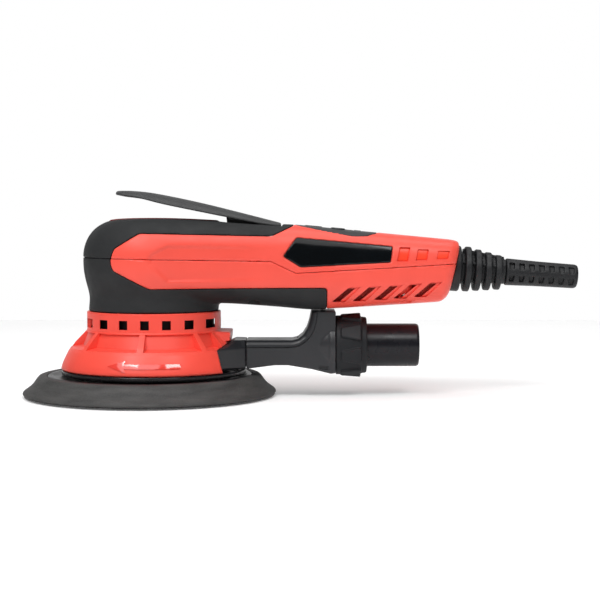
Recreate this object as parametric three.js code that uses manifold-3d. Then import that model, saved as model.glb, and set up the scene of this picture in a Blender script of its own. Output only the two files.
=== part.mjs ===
// Random orbital sander for a 150 mm disc: a brushless motor stands in a round head, an offset bearing
// under it swings the pad in a 5 mm orbit, and a grip with the electronics runs back to the cord boot.
//
// Frame: millimetres, +Z up. The origin is where the motor's axis meets the sanding face of the pad.
// +X runs back along the grip to the cord, +Y is the far side when the cord is to the right.
import * as THREE from "three";
import { mergeVertices } from "three/addons/utils/BufferGeometryUtils.js";
import Module from "manifold-3d";

const wasm = await Module();
wasm.setup();

// ------------------------------------------------------------------ driving dimensions

const GAP = 0.3; // left between pieces that touch
const RUN = 0.35; // radial clearance where one round piece turns in another
const FAR = 400; // long enough to cut right through the tool

// Pad: hook face, foam and a hard top plate, with dust holes on one circle.
const PAD_R = 75;
const PAD_H = 12.5;
const HOOK_T = 1.2;
const PAD_RIM_R = 64; // the foam's top edge
const PLATE_R = 60.5;
const PLATE_T = 2.6;
const DUST_HOLE_R = 5;
const DUST_HOLE_COUNT = 6;
const DUST_HOLE_CIRCLE_R = 40;
const ORBIT_R = 2.5; // the pad's axis stands this far from the motor's
const PAD_SHAFT_R = 6;
const PAD_HUB_R = 16;
const PAD_NUT_R = 12;
const PAD_NUT_H = 4;
const STUD_R = 4;
const STUD_L = 8;

// Shroud: a vented ring over a flared skirt with a rubber brake lip under its edge.
const LIP_H = 3.7; // from the pad's top to the skirt's edge
const SKIRT_R = 55;
const SKIRT_H = 22.2; // from the skirt's edge up to the vented ring
const RING_R = 39.2;
const RING_H = 12;
const SHROUD_WALL = 2.2;
const WINDOW_TURNS = [-66, -41, -20.5, -2, 16, 36, 61]; // degrees from the near side towards the cord, and mirrored
const WINDOW_W = 4.6;
const WINDOW_H = 5;
const RIB_COUNT = 8;
const RIB_TURN = -93.5; // degrees, the rib on the near side
const RIB_W = 3.2;
const POCKET_D = 1.3;

// Housing: the round head, and the grip behind it.
const NECK_R = 38.15;
const HEAD_R = 41.6;
const HEAD_H = 54; // from the shroud's top to the head's crown
const GRIP_REAR = 177.7; // motor axis to the middle of the grip's rear face
const GRIP_HALF_W = 26; // half the grip's width behind the lever
const GRIP_H = 47.6; // the grip's height over the dust tube's brace
const REAR_HALF_W = 20.5;
const REAR_H = 36.2;
const REAR_LEAN = 0.22; // how far the rear face leans back for each millimetre of height
const WALL = 3.2;
const SOFT_T = 1.4; // thickness of the soft grip moulded over the shells
const SEAM_DROP = 22.6; // from the head's crown down to the seam in the head

// Lever.
const LEVER_TIP_X = -21.6;
const LEVER_L = 97.3;
const LEVER_RISE = 11.1; // degrees
const LEVER_HALF_W = 17;
const LEVER_T = 3.4;
const LEVER_PIVOT_BACK = 11.6; // the pin stands this far ahead of the lever's rear end
const LEVER_PIN_R = 1.6;
const LEVER_HUB_HALF_W = 8.5;

// Buttons on the control panel.
const PANEL_L = 48;
const PANEL_HALF_W = 19;
const PANEL_T = 1.2;
const PANEL_SLOPE = 5.2; // degrees, falling towards the cord
const BUTTON_R = 4.2;
const BUTTON_TRAVEL = 0.8;
const BUTTON_PROUD = 1.1;
const BUTTON_STEM = 5.5;

// Motor.
const MOTOR_SHAFT_R = 5;
const ROTOR_R = 16.5;
const STATOR_R = 30;
const STATOR_H = 20;
const AIR_GAP = 0.9;
const TEETH = 9;
const FAN_R = 29;
const FAN_H = 5.5;
const BEARING_T = 8;
const LOWER_BEARING_R = 14;
const UPPER_BEARING_R = 11;
const PAD_BEARING_R = 14;
const PAD_BEARING_H = 14;

// Dust extraction.
const TUBE_Z = 29.6; // height of the hose axis
const DUCT_HALF_W = 14;
const DUCT_H = 16.8;
const DUCT_JOINT_X = 55.4;
const DUCT_END_X = 107.9;
const DUCT_WALL = 2;
const BRACE_L = 14.5; // the brace's length along X where it meets the grip
const NOZZLE_R = 12.75;
const NOZZLE_WALL = 1.8;
const NOZZLE_L = 31; // what shows past the collar
const COLLAR_T = 1.85; // the collar's wall round the duct's spigot
const COLLAR_L = 18.2;
const COLLAR_PADS = 8;
const COLLAR_PAD_TURN = 17; // degrees, from the near side down to the first pad

// Cord boot and sleeve.
const BOOT_TILT = 3.94; // degrees, drooping towards the cord
const BOOT_R = 13.6;
const BOOT_RIBS = 4;
const BOOT_PITCH = 6.1;
const BOOT_BORE_R = 4.6;
const SLEEVE_R = 8;
const SLEEVE_END_R = 6.95;
const SLEEVE_L = 42.7;
const SLEEVE_SLOTS = 7;

// ------------------------------------------------------------------ heights and places worked out from them

const SKIRT_Z = PAD_H + LIP_H;
const RING_Z = SKIRT_Z + SKIRT_H;
const NECK_Z = RING_Z + RING_H + GAP;
const CROWN_Z = NECK_Z + HEAD_H;
const LEVER_REAR_X = LEVER_TIP_X + LEVER_L;
const PIVOT_X = LEVER_REAR_X - LEVER_PIVOT_BACK;
const PANEL_X = LEVER_REAR_X + 8.2 + PANEL_L / 2; // middle of the control panel
const BRACE_X = DUCT_END_X - BRACE_L / 2;
const SPIGOT_R = NOZZLE_R + 3;
const COLLAR_R = SPIGOT_R + COLLAR_T;

// ------------------------------------------------------------------ solids

// A closed three.js geometry as a manifold solid, with its faces turned outwards.
function solid(geometry) {
  const bare = new THREE.BufferGeometry().setAttribute("position", geometry.getAttribute("position"));
  if (geometry.index) bare.setIndex(geometry.index);
  const merged = mergeVertices(bare, 1e-4);
  const triVerts = [];
  const index = merged.index.array;
  for (let i = 0; i < index.length; i += 3) {
    const [a, b, c] = [index[i], index[i + 1], index[i + 2]];
    if (a !== b && b !== c && c !== a) triVerts.push(a, b, c);
  }
  const made = closed(merged.attributes.position.array, triVerts);
  return made.volume() < 0 ? closed(merged.attributes.position.array, triVerts.reverse()) : made;
}

function closed(positions, corners) {
  const mesh = new wasm.Mesh({ numProp: 3, vertProperties: positions, triVerts: new Uint32Array(corners) });
  return new wasm.Manifold(mesh);
}

// A solid's surface back as a three.js geometry.
function surfaceOf(made) {
  const mesh = made.getMesh();
  const positions = new Float32Array(mesh.numVert * 3);
  for (let i = 0; i < mesh.numVert; i++) {
    positions.set(mesh.vertProperties.subarray(i * mesh.numProp, i * mesh.numProp + 3), i * 3);
  }
  const geometry = new THREE.BufferGeometry();
  geometry.setAttribute("position", new THREE.BufferAttribute(positions, 3));
  return geometry.setIndex(new THREE.BufferAttribute(mesh.triVerts, 1));
}

function moved(made, matrix) {
  const geometry = surfaceOf(made).applyMatrix4(matrix);
  return closed(geometry.getAttribute("position").array, geometry.index.array);
}
const aboutZ = (made, degrees) => moved(made, new THREE.Matrix4().makeRotationZ(THREE.MathUtils.degToRad(degrees)));

const cut = (body, ...tools) => tools.reduce((left, tool) => left.subtract(tool), body);
const join = (...parts) => parts.reduce((sum, next) => sum.add(next));
const common = (...parts) => parts.reduce((left, next) => left.intersect(next));

function place(geometry, x = 0, y = 0, z = 0) {
  return solid(geometry.translate(x, y, z));
}

// A box from its middle and its three sizes.
function box(x, y, z, length, width, height) {
  return place(new THREE.BoxGeometry(length, width, height), x, y, z);
}

// An upright cylinder standing on z, or one along X from x, or one across the tool centred on y = 0.
function post(x, y, z, radius, height, sides = 24) {
  return place(new THREE.CylinderGeometry(radius, radius, height, sides).rotateX(Math.PI / 2), x, y, z + height / 2);
}
function bar(x, z, radius, length, sides = 32) {
  return place(new THREE.CylinderGeometry(radius, radius, length, sides).rotateZ(Math.PI / 2), x + length / 2, 0, z);
}
function crossBar(x, z, radius, width, sides = 16) {
  return place(new THREE.CylinderGeometry(radius, radius, width, sides), x, 0, z);
}

// A turned shape about Z from a closed or axis-to-axis profile of [radius, height] points.
function turned(profile, sides = 32, start = 0) {
  const points = profile.map(([r, z]) => new THREE.Vector2(r, z));
  const from = THREE.MathUtils.degToRad(start);
  return solid(new THREE.LatheGeometry(points, sides, from).rotateX(Math.PI / 2));
}

// An upright ring between two radii.
function ring(inner, outer, z, height, sides = 24) {
  return turned(
    [[inner, z], [outer, z], [outer, z + height], [inner, z + height], [inner, z]],
    sides,
  );
}

function outline(points) {
  if (points instanceof THREE.Shape) return points;
  return new THREE.Shape(points.map(([u, v]) => new THREE.Vector2(u, v)));
}

// A side outline of [x, z] points carried across the tool, grown by "grow" all round.
function sidePrism(points, halfWidth = FAR / 2, grow = 0) {
  const depth = 2 * halfWidth - 2 * grow;
  const geometry = new THREE.ExtrudeGeometry(outline(points), {
    depth,
    curveSegments: 5,
    bevelEnabled: grow !== 0,
    bevelSize: grow,
    bevelThickness: grow,
    bevelSegments: 1,
  });
  return place(geometry.rotateX(Math.PI / 2), 0, depth / 2, 0);
}

// A plan outline of [x, y] points carried up from z.
function planPrism(points, z, height) {
  const geometry = new THREE.ExtrudeGeometry(outline(points), {
    depth: height,
    curveSegments: 5,
    bevelEnabled: false,
  });
  return place(geometry, 0, 0, z);
}

// A skin through closed rings of equal point counts, capped at both ends.
function loft(rings) {
  const count = rings[0].length;
  const positions = rings.flat().flatMap((p) => [p.x, p.y, p.z]);
  const corners = [];
  for (let r = 0; r < rings.length - 1; r++) {
    for (let i = 0; i < count; i++) {
      const a = r * count + i;
      const b = r * count + ((i + 1) % count);
      corners.push(a, b, a + count, b, b + count, a + count);
    }
  }
  const last = (rings.length - 1) * count;
  for (let i = 1; i < count - 1; i++) {
    corners.push(0, i + 1, i, last, last + i, last + i + 1);
  }
  const geometry = new THREE.BufferGeometry();
  geometry.setAttribute("position", new THREE.Float32BufferAttribute(positions, 3));
  return solid(geometry.setIndex(corners));
}

// A rounded rectangle in the plane of y and z, "square" from 2, an ellipse, up towards a full box.
function roundedRing(x, halfWidth, low, high, square, count, lean = 0) {
  const middle = (low + high) / 2;
  const halfHeight = (high - low) / 2;
  const bend = (value) => Math.sign(value) * Math.abs(value) ** (2 / square);
  return Array.from({ length: count }, (_, i) => {
    const angle = (2 * Math.PI * (i + 0.5)) / count;
    const z = middle + halfHeight * bend(Math.sin(angle));
    return new THREE.Vector3(x + lean * (z - middle), halfWidth * bend(Math.cos(angle)), z);
  });
}

// The value at x on a smooth line through [x, value] points.
function along(line, x) {
  const last = line.length - 1;
  if (x <= line[0][0]) return line[0][1];
  if (x >= line[last][0]) return line[last][1];
  const i = line.findIndex(([at]) => at > x) - 1;
  const slope = (k) => {
    const [a, b] = [line[Math.max(k - 1, 0)], line[Math.min(k + 1, last)]];
    return (b[1] - a[1]) / (b[0] - a[0]);
  };
  const [x0, v0] = line[i];
  const [x1, v1] = line[i + 1];
  const span = x1 - x0;
  const t = (x - x0) / span;
  return (
    v0 * (1 + 2 * t) * (1 - t) ** 2 +
    v1 * t * t * (3 - 2 * t) +
    span * (slope(i) * t * (1 - t) ** 2 - slope(i + 1) * t * t * (1 - t))
  );
}

// The same solid at equal steps round an upright axis.
function around(made, count, start = 0) {
  return Array.from({ length: count }, (_, i) => aboutZ(made, start + (360 * i) / count));
}

// ------------------------------------------------------------------ scene and finishes

const sander = new THREE.Group();
const finish = (colour, roughness, metalness = 0) =>
  new THREE.MeshStandardMaterial({ color: new THREE.Color(...colour), roughness, metalness });

const RED = finish([0.86, 0.09, 0.05], 0.45);
const SOFT_BLACK = finish([0.045, 0.048, 0.05], 0.8);
const BLACK = finish([0.04, 0.042, 0.045], 0.5);
const GLOSS_BLACK = finish([0.01, 0.01, 0.012], 0.2);
const RUBBER = finish([0.02, 0.02, 0.022], 0.75);
const FOAM = finish([0.09, 0.088, 0.085], 0.9);
const HOOKS = finish([0.12, 0.12, 0.12], 1);
const STEEL = finish([0.55, 0.56, 0.58], 0.35, 1);
const ALUMINIUM = finish([0.75, 0.76, 0.78], 0.4, 1);
const IRON = finish([0.25, 0.25, 0.27], 0.6, 1);
const COPPER = finish([0.72, 0.36, 0.18], 0.35, 1);
const BOARD = finish([0.02, 0.18, 0.08], 0.5);
const LENS = finish([0.6, 0.9, 0.6], 0.2);

function add(name, made, material, group = sander) {
  const geometry = surfaceOf(made);
  geometry.computeVertexNormals();
  const node = new THREE.Mesh(geometry, material);
  node.name = name;
  group.add(node);
  return node;
}

// ------------------------------------------------------------------ the housing's form

// Head profile as [distance in from the head's radius, height over the neck's foot].
const HEAD_PROFILE = [
  [HEAD_R - NECK_R, 0],
  [HEAD_R - NECK_R - 0.1, 7.5],
  [1.2, 16],
  [0, HEAD_H - 27],
  [0.6, HEAD_H - 18],
  [4.6, HEAD_H - 8],
  [10.4, HEAD_H - 2.6],
  [18, HEAD_H - 0.6],
];
const HEAD_SIDES = 26;

// Grip outline lines as [x, height or half width]: what lies ahead of the brace is measured from the
// motor's axis, and what lies behind it from the rear face.
const GRIP_TOP = [
  [0, CROWN_Z],
  [42, CROWN_Z - 2],
  [LEVER_REAR_X, CROWN_Z - 3],
  [LEVER_REAR_X + 9, CROWN_Z - 3.2],
  [PANEL_X, CROWN_Z - 5.6],
  [PANEL_X + PANEL_L / 2, CROWN_Z - 8.2],
  [GRIP_REAR, CROWN_Z - 12.6],
];
const GRIP_FLOOR = [
  [0, CROWN_Z - 2.4 - GRIP_H],
  [42, CROWN_Z - 2.4 - GRIP_H],
  [72, CROWN_Z - 4.2 - GRIP_H],
  [BRACE_X, CROWN_Z - 6.1 - GRIP_H],
  [GRIP_REAR - 38, CROWN_Z - 3.9 - GRIP_H],
  [GRIP_REAR, CROWN_Z - 12.6 - REAR_H],
];
const GRIP_WIDTH = [
  [0, HEAD_R - 4],
  [22, HEAD_R - 7.5],
  [45, GRIP_HALF_W + 3.5],
  [75, GRIP_HALF_W + 0.5],
  [BRACE_X, GRIP_HALF_W],
  [GRIP_REAR - 35, GRIP_HALF_W - 0.8],
  [GRIP_REAR, REAR_HALF_W],
];
const gripTop = (x) => along(GRIP_TOP, x);
const gripFloor = (x) => along(GRIP_FLOOR, x);
const gripHalfWidth = (x) => along(GRIP_WIDTH, x);

const REAR_ROUND = 4.5;
const GRIP_STATIONS = [
  0, 22, 36, 50, PIVOT_X + 5, PIVOT_X + 19, PANEL_X - 6, PANEL_X + 14, GRIP_REAR - 35, GRIP_REAR - REAR_ROUND,
];
const GRIP_SIDES = 16;
const GRIP_SQUARE = 3.2;

// The housing's outside drawn in by "inset" all over; a negative inset grows it.
function form(inset) {
  const floor = NECK_Z + (inset > 0 ? -FAR / 8 : inset);
  const profile = HEAD_PROFILE.map(([back, z]) => [
    HEAD_R - back - inset * (z < HEAD_H - 14 ? 1 : 0.6),
    NECK_Z + z - inset * (z < HEAD_H - 14 ? 0 : 0.85),
  ]);
  const top = profile[profile.length - 1][1];
  const head = turned([[0, floor], [profile[0][0], floor], ...profile.slice(1), [0, top + 0.6]], HEAD_SIDES);
  const rings = GRIP_STATIONS.map((x) =>
    roundedRing(
      x,
      gripHalfWidth(x) - inset,
      gripFloor(x) + inset,
      gripTop(x) - inset,
      GRIP_SQUARE,
      GRIP_SIDES,
      x > PANEL_X ? (REAR_LEAN * (x - PANEL_X)) / (GRIP_REAR - PANEL_X) : 0,
    ),
  );
  const end = GRIP_REAR - inset;
  rings[rings.length - 1].forEach((p) => (p.x -= inset));
  rings.push(
    roundedRing(
      end,
      REAR_HALF_W - inset - 2.4,
      gripFloor(GRIP_REAR) + inset + 2.8,
      gripTop(GRIP_REAR) - inset - 2.4,
      GRIP_SQUARE,
      GRIP_SIDES,
      REAR_LEAN,
    ),
  );
  return join(head, loft(rings));
}

// The seam between the two shells: level in the head, a step down behind the lever, then up to the rear.
const SEAM = [
  [-HEAD_R - 20, CROWN_Z - SEAM_DROP],
  [LEVER_REAR_X - 5.5, CROWN_Z - SEAM_DROP - 2],
  [LEVER_REAR_X + 9, CROWN_Z - SEAM_DROP - 8.8],
  [GRIP_REAR + 40, CROWN_Z - SEAM_DROP - 2.2],
];
const seamHalf = (shift, limit) =>
  sidePrism([
    ...SEAM.map(([x, z]) => [x, z + shift]),
    [GRIP_REAR + 40, limit],
    [-HEAD_R - 20, limit],
  ]);
const ABOVE = seamHalf(GAP / 2, FAR / 2);
const BELOW = seamHalf(-GAP / 2, -FAR / 2);

// Where the shells show red on the sides; round it the soft grip covers them.
const SOFT_END_X = BRACE_X + 1.9; // the grip's soft underside stops over the brace
const RED_SIDE = [
  [-21.3, CROWN_Z - 24.3],
  [-19.7, CROWN_Z - 29.9],
  [1, CROWN_Z - 40.3],
  [SOFT_END_X, CROWN_Z - 40.1],
  [SOFT_END_X, NECK_Z - 20],
  [GRIP_REAR + 40, NECK_Z - 20],
  [GRIP_REAR + 40, CROWN_Z + 20],
  [LEVER_REAR_X + 14, CROWN_Z + 20],
  [LEVER_REAR_X + 8, CROWN_Z - 4],
  [LEVER_REAR_X - 5.3, CROWN_Z - 10.5],
  [-4.4, CROWN_Z - 9],
  [-18.9, CROWN_Z - 17.6],
];

// The red strip along the crown, under the lever.
const STRIP_HALF_W = 15;
function crownStrip(grow) {
  const half = STRIP_HALF_W + grow;
  const front = -HEAD_R + 15 - grow;
  const shape = new THREE.Shape()
    .moveTo(LEVER_REAR_X + 30, -half)
    .lineTo(front + 10, -half)
    .quadraticCurveTo(front, -half, front, 0)
    .quadraticCurveTo(front, half, front + 10, half)
    .lineTo(LEVER_REAR_X + 30, half);
  return planPrism(shape, CROWN_Z - 16, 60);
}

// ------------------------------------------------------------------ lever well, panel and other openings in the top

const PIVOT_Z = gripTop(PIVOT_X) - 3.6;
const WELL_HALF_W = LEVER_HUB_HALF_W + 1.2;
const WELL_FRONT = PIVOT_X - 20.6;
const WELL_BACK = PIVOT_X + 6.2;
const leverWell = box(
  (WELL_FRONT + WELL_BACK) / 2, 0, PIVOT_Z, WELL_BACK - WELL_FRONT, 2 * WELL_HALF_W, 40,
);
// Behind the pin the lever's end lies in a shallow seat in the grip's top.
const SEAT_HALF_W = LEVER_HALF_W - 2.6;
const leverSeat = box((PIVOT_X + LEVER_REAR_X) / 2, 0, PIVOT_Z + 20.6, LEVER_REAR_X - PIVOT_X + 2.4, 2 * SEAT_HALF_W, 40);
const leverPin = (radius, halfWidth, sides) => crossBar(PIVOT_X, PIVOT_Z, radius, 2 * halfWidth, sides);

// The panel and its buttons stand in a group of their own, tilted to the grip's top.
const panelGroup = new THREE.Group();
panelGroup.position.set(PANEL_X, 0, gripTop(PANEL_X));
panelGroup.rotation.y = THREE.MathUtils.degToRad(PANEL_SLOPE);
sander.add(panelGroup);
panelGroup.updateMatrix();
const inPanel = (made) => moved(made, panelGroup.matrix);
const BUTTONS = [
  { name: "power_button", x: -13, y: 0, radius: BUTTON_R + 1.2 },
  { name: "speed_down_button", x: 1.5, y: -7.5, radius: BUTTON_R },
  { name: "speed_up_button", x: 1.5, y: 7.5, radius: BUTTON_R },
];
const LENS_X = 13;
const panelHoles = [
  ...BUTTONS.map((b) => post(b.x, b.y, -12, b.radius + RUN, 20, 14)),
  box(LENS_X, 0, -2, 4 + 2 * GAP, 16 + 2 * GAP, 20),
].map(inPanel);
const panelOutline = (grow) => {
  const half = PANEL_L / 2 + grow;
  const side = PANEL_HALF_W + grow;
  return new THREE.Shape()
    .moveTo(PANEL_X - half, 0)
    .lineTo(PANEL_X - half + 5, side - 6)
    .quadraticCurveTo(PANEL_X, side + 1.5, PANEL_X + half - 5, side - 7)
    .lineTo(PANEL_X + half, 0)
    .lineTo(PANEL_X + half - 5, -side + 7)
    .quadraticCurveTo(PANEL_X, -side - 1.5, PANEL_X - half + 5, -side + 6)
    .lineTo(PANEL_X - half, 0);
};
const panelPrism = (grow) => planPrism(panelOutline(grow), CROWN_Z - 24, 60);

// ------------------------------------------------------------------ fixings

const SCREW_R = 1.5;
const SCREW_HEAD_R = 3;
const SCREW_HEAD_H = 2;
const BOSS_R = 4;

// A pan-head screw standing on its head, with a hex socket, its thread ending at the given height.
function screw(x, y, headZ, tipZ) {
  const head = post(x, y, headZ, SCREW_HEAD_R, SCREW_HEAD_H, 10);
  const socket = post(x, y, headZ - 1, 1.2, 2.2, 6);
  const thread = post(x, y, headZ + SCREW_HEAD_H - 0.5, SCREW_R, tipZ - headZ - SCREW_HEAD_H + 0.5, 6);
  return join(cut(head, socket), thread);
}

const SHELL_SCREWS = [
  { name: "shell_screw_front_near", x: 60, y: -18 },
  { name: "shell_screw_front_far", x: 60, y: 18 },
  { name: "shell_screw_rear_near", x: GRIP_REAR - 29, y: -14.5 },
  { name: "shell_screw_rear_far", x: GRIP_REAR - 29, y: 14.5 },
];
const seamAt = (x) => {
  const i = Math.max(1, SEAM.findIndex(([at]) => at >= x));
  const [[x0, z0], [x1, z1]] = [SEAM[i - 1], SEAM[i]];
  return z0 + ((z1 - z0) * (x - x0)) / (x1 - x0);
};
// The screw heads sit in pockets sunk in the floor of the lower shell.
for (const s of SHELL_SCREWS) {
  s.headZ = gripFloor(s.x) + 5;
  s.split = seamAt(s.x);
  s.tipZ = s.split + 0.5 * (gripTop(s.x) - s.split);
}

// ------------------------------------------------------------------ shells and soft grips

const outer = form(0);
const softBack = form(SOFT_T);
const underSoft = form(SOFT_T + GAP);
const cavity = form(WALL);

// Boot axis: it leaves the middle of the rear face and droops a little.
const bootGroup = new THREE.Group();
bootGroup.position.set(GRIP_REAR + 0.3, 0, (gripTop(GRIP_REAR) + gripFloor(GRIP_REAR)) / 2 + 1.4);
bootGroup.rotation.y = THREE.MathUtils.degToRad(90 + BOOT_TILT);
bootGroup.updateMatrix();
sander.add(bootGroup);
const BOOT_NECK_R = 9;
const onBoot = (made) => moved(made, bootGroup.matrix);
const bootHole = onBoot(post(0, 0, -20, BOOT_NECK_R + GAP, 40, 18));

// Slanted cooling slots near the rear, in both sides of the lower shell.
const VENT_COUNT = 5;
const VENT_PITCH = 11.9;
const VENT_W = 5;
const VENT_H = 6.6;
const VENT_SLANT = 6.6;
const ventAt = (i) => {
  const x = GRIP_REAR - 18 - i * VENT_PITCH;
  const z = gripFloor(x) + 8.4;
  return [
    [x - VENT_SLANT / 2 - VENT_W / 2, z - VENT_H / 2],
    [x - VENT_SLANT / 2 + VENT_W / 2, z - VENT_H / 2],
    [x + VENT_SLANT / 2 + VENT_W / 2, z + VENT_H / 2],
    [x + VENT_SLANT / 2 - VENT_W / 2, z + VENT_H / 2],
  ];
};
const vents = Array.from({ length: VENT_COUNT }, (_, i) => sidePrism(ventAt(i)));

// Name plate seat and three shallow windows behind it, on both sides of the upper shell.
const PLATE_DEPTH = 0.7;
const PLATE_X = LEVER_REAR_X + 1.6;
const PLATE_L = 63;
const namePlate = [
  [PLATE_X, CROWN_Z - 22.2],
  [PLATE_X + 8.2, CROWN_Z - 11.4],
  [PLATE_X + PLATE_L, CROWN_Z - 16.4],
  [PLATE_X + PLATE_L - 1.4, CROWN_Z - 25.4],
  [PLATE_X + 10, CROWN_Z - 28.2],
];
const WINDOW_STEPS = [34.6, 23.6, 11.8]; // the windows' left edges, ahead of the rear face
const WINDOW_HEIGHTS = [7.8, 6.2, 4.8];
const recesses = WINDOW_STEPS.map((back, i) => {
  const x = GRIP_REAR - back;
  const high = gripTop(x) - 7.4 - 0.9 * i;
  return sidePrism([
    [x, high - WINDOW_HEIGHTS[i]],
    [x + 7.2, high - WINDOW_HEIGHTS[i]],
    [x + 7.8, high],
    [x + 1.2, high],
  ]);
});
const shallow = cut(form(-1), form(PLATE_DEPTH));

// What the shells lose for the soft grip, and the grip itself before it is split at the seam.
const skinCut = cut(form(-1), underSoft, sidePrism(RED_SIDE), crownStrip(0));
const softSkin = cut(outer, softBack, sidePrism(RED_SIDE, FAR / 2, GAP), crownStrip(GAP));

function upperHousing() {
  const shell = cut(common(outer, ABOVE), cavity, skinCut);
  const ears = [-1, 1].map((side) =>
    box(PIVOT_X, side * (WELL_HALF_W + 2), PIVOT_Z - 1, 9, 4, 9.6),
  );
  const bosses = SHELL_SCREWS.map((s) =>
    common(cut(post(s.x, s.y, s.split + 0.3, BOSS_R, 40, 12), post(s.x, s.y, s.split - 1, SCREW_R + 0.2, s.tipZ - s.split + 3, 8)), underSoft),
  );
  const panelSeat = common(cut(form(-1), form(PANEL_T + GAP)), panelPrism(GAP));
  return cut(
    join(shell, ...ears.map((e) => common(e, underSoft)), ...bosses),
    leverWell,
    leverSeat,
    leverPin(LEVER_PIN_R + 0.15, WELL_HALF_W + 6, 12),
    panelSeat,
    ...panelHoles,
    bootHole,
    common(shallow, sidePrism(namePlate, FAR / 2, GAP)),
    ...recesses.map((r) => common(shallow, r)),
  );
}

const BOARD_Z = CROWN_Z - GRIP_H + 9;
const BOARD_X = 67;
const BOARD_L = GRIP_REAR - 37 - BOARD_X;
const BOARD_HALF_W = 19;
const BOARD_T = 1.6;
const CLAMP_X = GRIP_REAR - 17.5;
const CLAMP_Y = 9.5;
const clampZ = bootGroup.position.z - 4.3;

function lowerHousing() {
  const shell = cut(common(outer, BELOW), cavity, skinCut, ...vents, bootHole);
  const bosses = SHELL_SCREWS.map((s) =>
    common(post(s.x, s.y, gripFloor(s.x) - 1, BOSS_R, s.split - 0.3 - gripFloor(s.x) + 1, 12), underSoft),
  );
  const sinks = SHELL_SCREWS.flatMap((s) => [
    post(s.x, s.y, s.headZ - 30, SCREW_HEAD_R + 0.4, 30 + SCREW_HEAD_H + 0.15, 12),
    post(s.x, s.y, s.headZ, SCREW_R + 0.3, 60, 8),
  ]);
  const ribs = [BOARD_X + 12, BOARD_X + BOARD_L - 12].map((x) =>
    common(box(x, 0, BOARD_Z - GAP - 15, 2, 2 * BOARD_HALF_W, 30), underSoft),
  );
  const clampPosts = [-1, 1].map((side) =>
    post(CLAMP_X, side * CLAMP_Y, gripFloor(CLAMP_X) + 1.5, 3.4, clampZ - GAP - gripFloor(CLAMP_X) - 1.5, 12),
  );
  const clampHoles = [-1, 1].map((side) => post(CLAMP_X, side * CLAMP_Y, gripFloor(CLAMP_X) + 5, SCREW_R + 0.2, 40, 8));
  const braceBoss = cut(
    common(post(BRACE_X, 0, gripFloor(BRACE_X) - 1, BOSS_R, 10, 12), underSoft),
    post(BRACE_X, 0, gripFloor(BRACE_X) - 2, SCREW_R + 0.2, 30, 8),
  );
  const braceHole = post(BRACE_X, 0, gripFloor(BRACE_X) - 2, SCREW_R + 0.2, 8, 8);
  return cut(join(cut(shell, braceHole), ...bosses, ...ribs, ...clampPosts, braceBoss), ...sinks, ...clampHoles);
}

add("upper_housing", upperHousing(), RED);
add("lower_housing", lowerHousing(), RED);
const sinkHoles = SHELL_SCREWS.map((s) => post(s.x, s.y, s.headZ - 30, SCREW_HEAD_R + 0.4, 30 + SCREW_HEAD_H, 12));
sinkHoles.push(post(BRACE_X, 0, gripFloor(BRACE_X) - 8, SCREW_R + 0.4, 20, 8));
add("upper_grip", cut(common(softSkin, ABOVE), panelPrism(1), leverSeat, leverWell), SOFT_BLACK);
add("lower_grip", cut(common(softSkin, BELOW), ...sinkHoles), SOFT_BLACK);
for (const s of SHELL_SCREWS) add(s.name, screw(s.x, s.y, s.headZ, s.tipZ), STEEL);

// Name plates: thin gloss strips let into the sides.
const plateSkin = common(cut(form(0), form(PLATE_DEPTH - 0.25)), sidePrism(namePlate));
add("name_plate_near", common(plateSkin, box(0, -FAR / 2, 0, 2 * FAR, FAR, 2 * FAR)), GLOSS_BLACK);
add("name_plate_far", common(plateSkin, box(0, FAR / 2, 0, 2 * FAR, FAR, 2 * FAR)), GLOSS_BLACK);

// ------------------------------------------------------------------ control panel, buttons and their board

add("control_panel", cut(common(cut(outer, form(PANEL_T)), panelPrism(0)), ...panelHoles), SOFT_BLACK);
for (const b of BUTTONS) {
  const cap = turned(
    [
      [0, -BUTTON_STEM - 1],
      [b.radius + 1, -BUTTON_STEM - 1],
      [b.radius + 1, -BUTTON_STEM],
      [b.radius, -BUTTON_STEM],
      [b.radius, BUTTON_PROUD - 0.5],
      [b.radius - 0.8, BUTTON_PROUD],
      [0, BUTTON_PROUD],
    ],
    14,
  );
  add(b.name, cap, BLACK, panelGroup).position.set(b.x, b.y, 0);
}
add("status_lens", box(0, 0, -1.9, 4, 16, 4.4), LENS, panelGroup).position.set(LENS_X, 0, 0);
const BUTTON_BOARD_Z = -BUTTON_STEM - 1 - BUTTON_TRAVEL - 0.4;
add("button_board", box(0, 0, 0, 36, 26, 1.4), BOARD, panelGroup).position.set(0, 0, BUTTON_BOARD_Z - 0.7);

// ------------------------------------------------------------------ lever, its pin, spring and switch

const SPRING_X = PIVOT_X - 14;
const SPRING_R = 2.6;
const SWITCH_TOP_Z = PIVOT_Z - 12;
const HUB_FOOT_Z = PIVOT_Z - 4.4;

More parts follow.
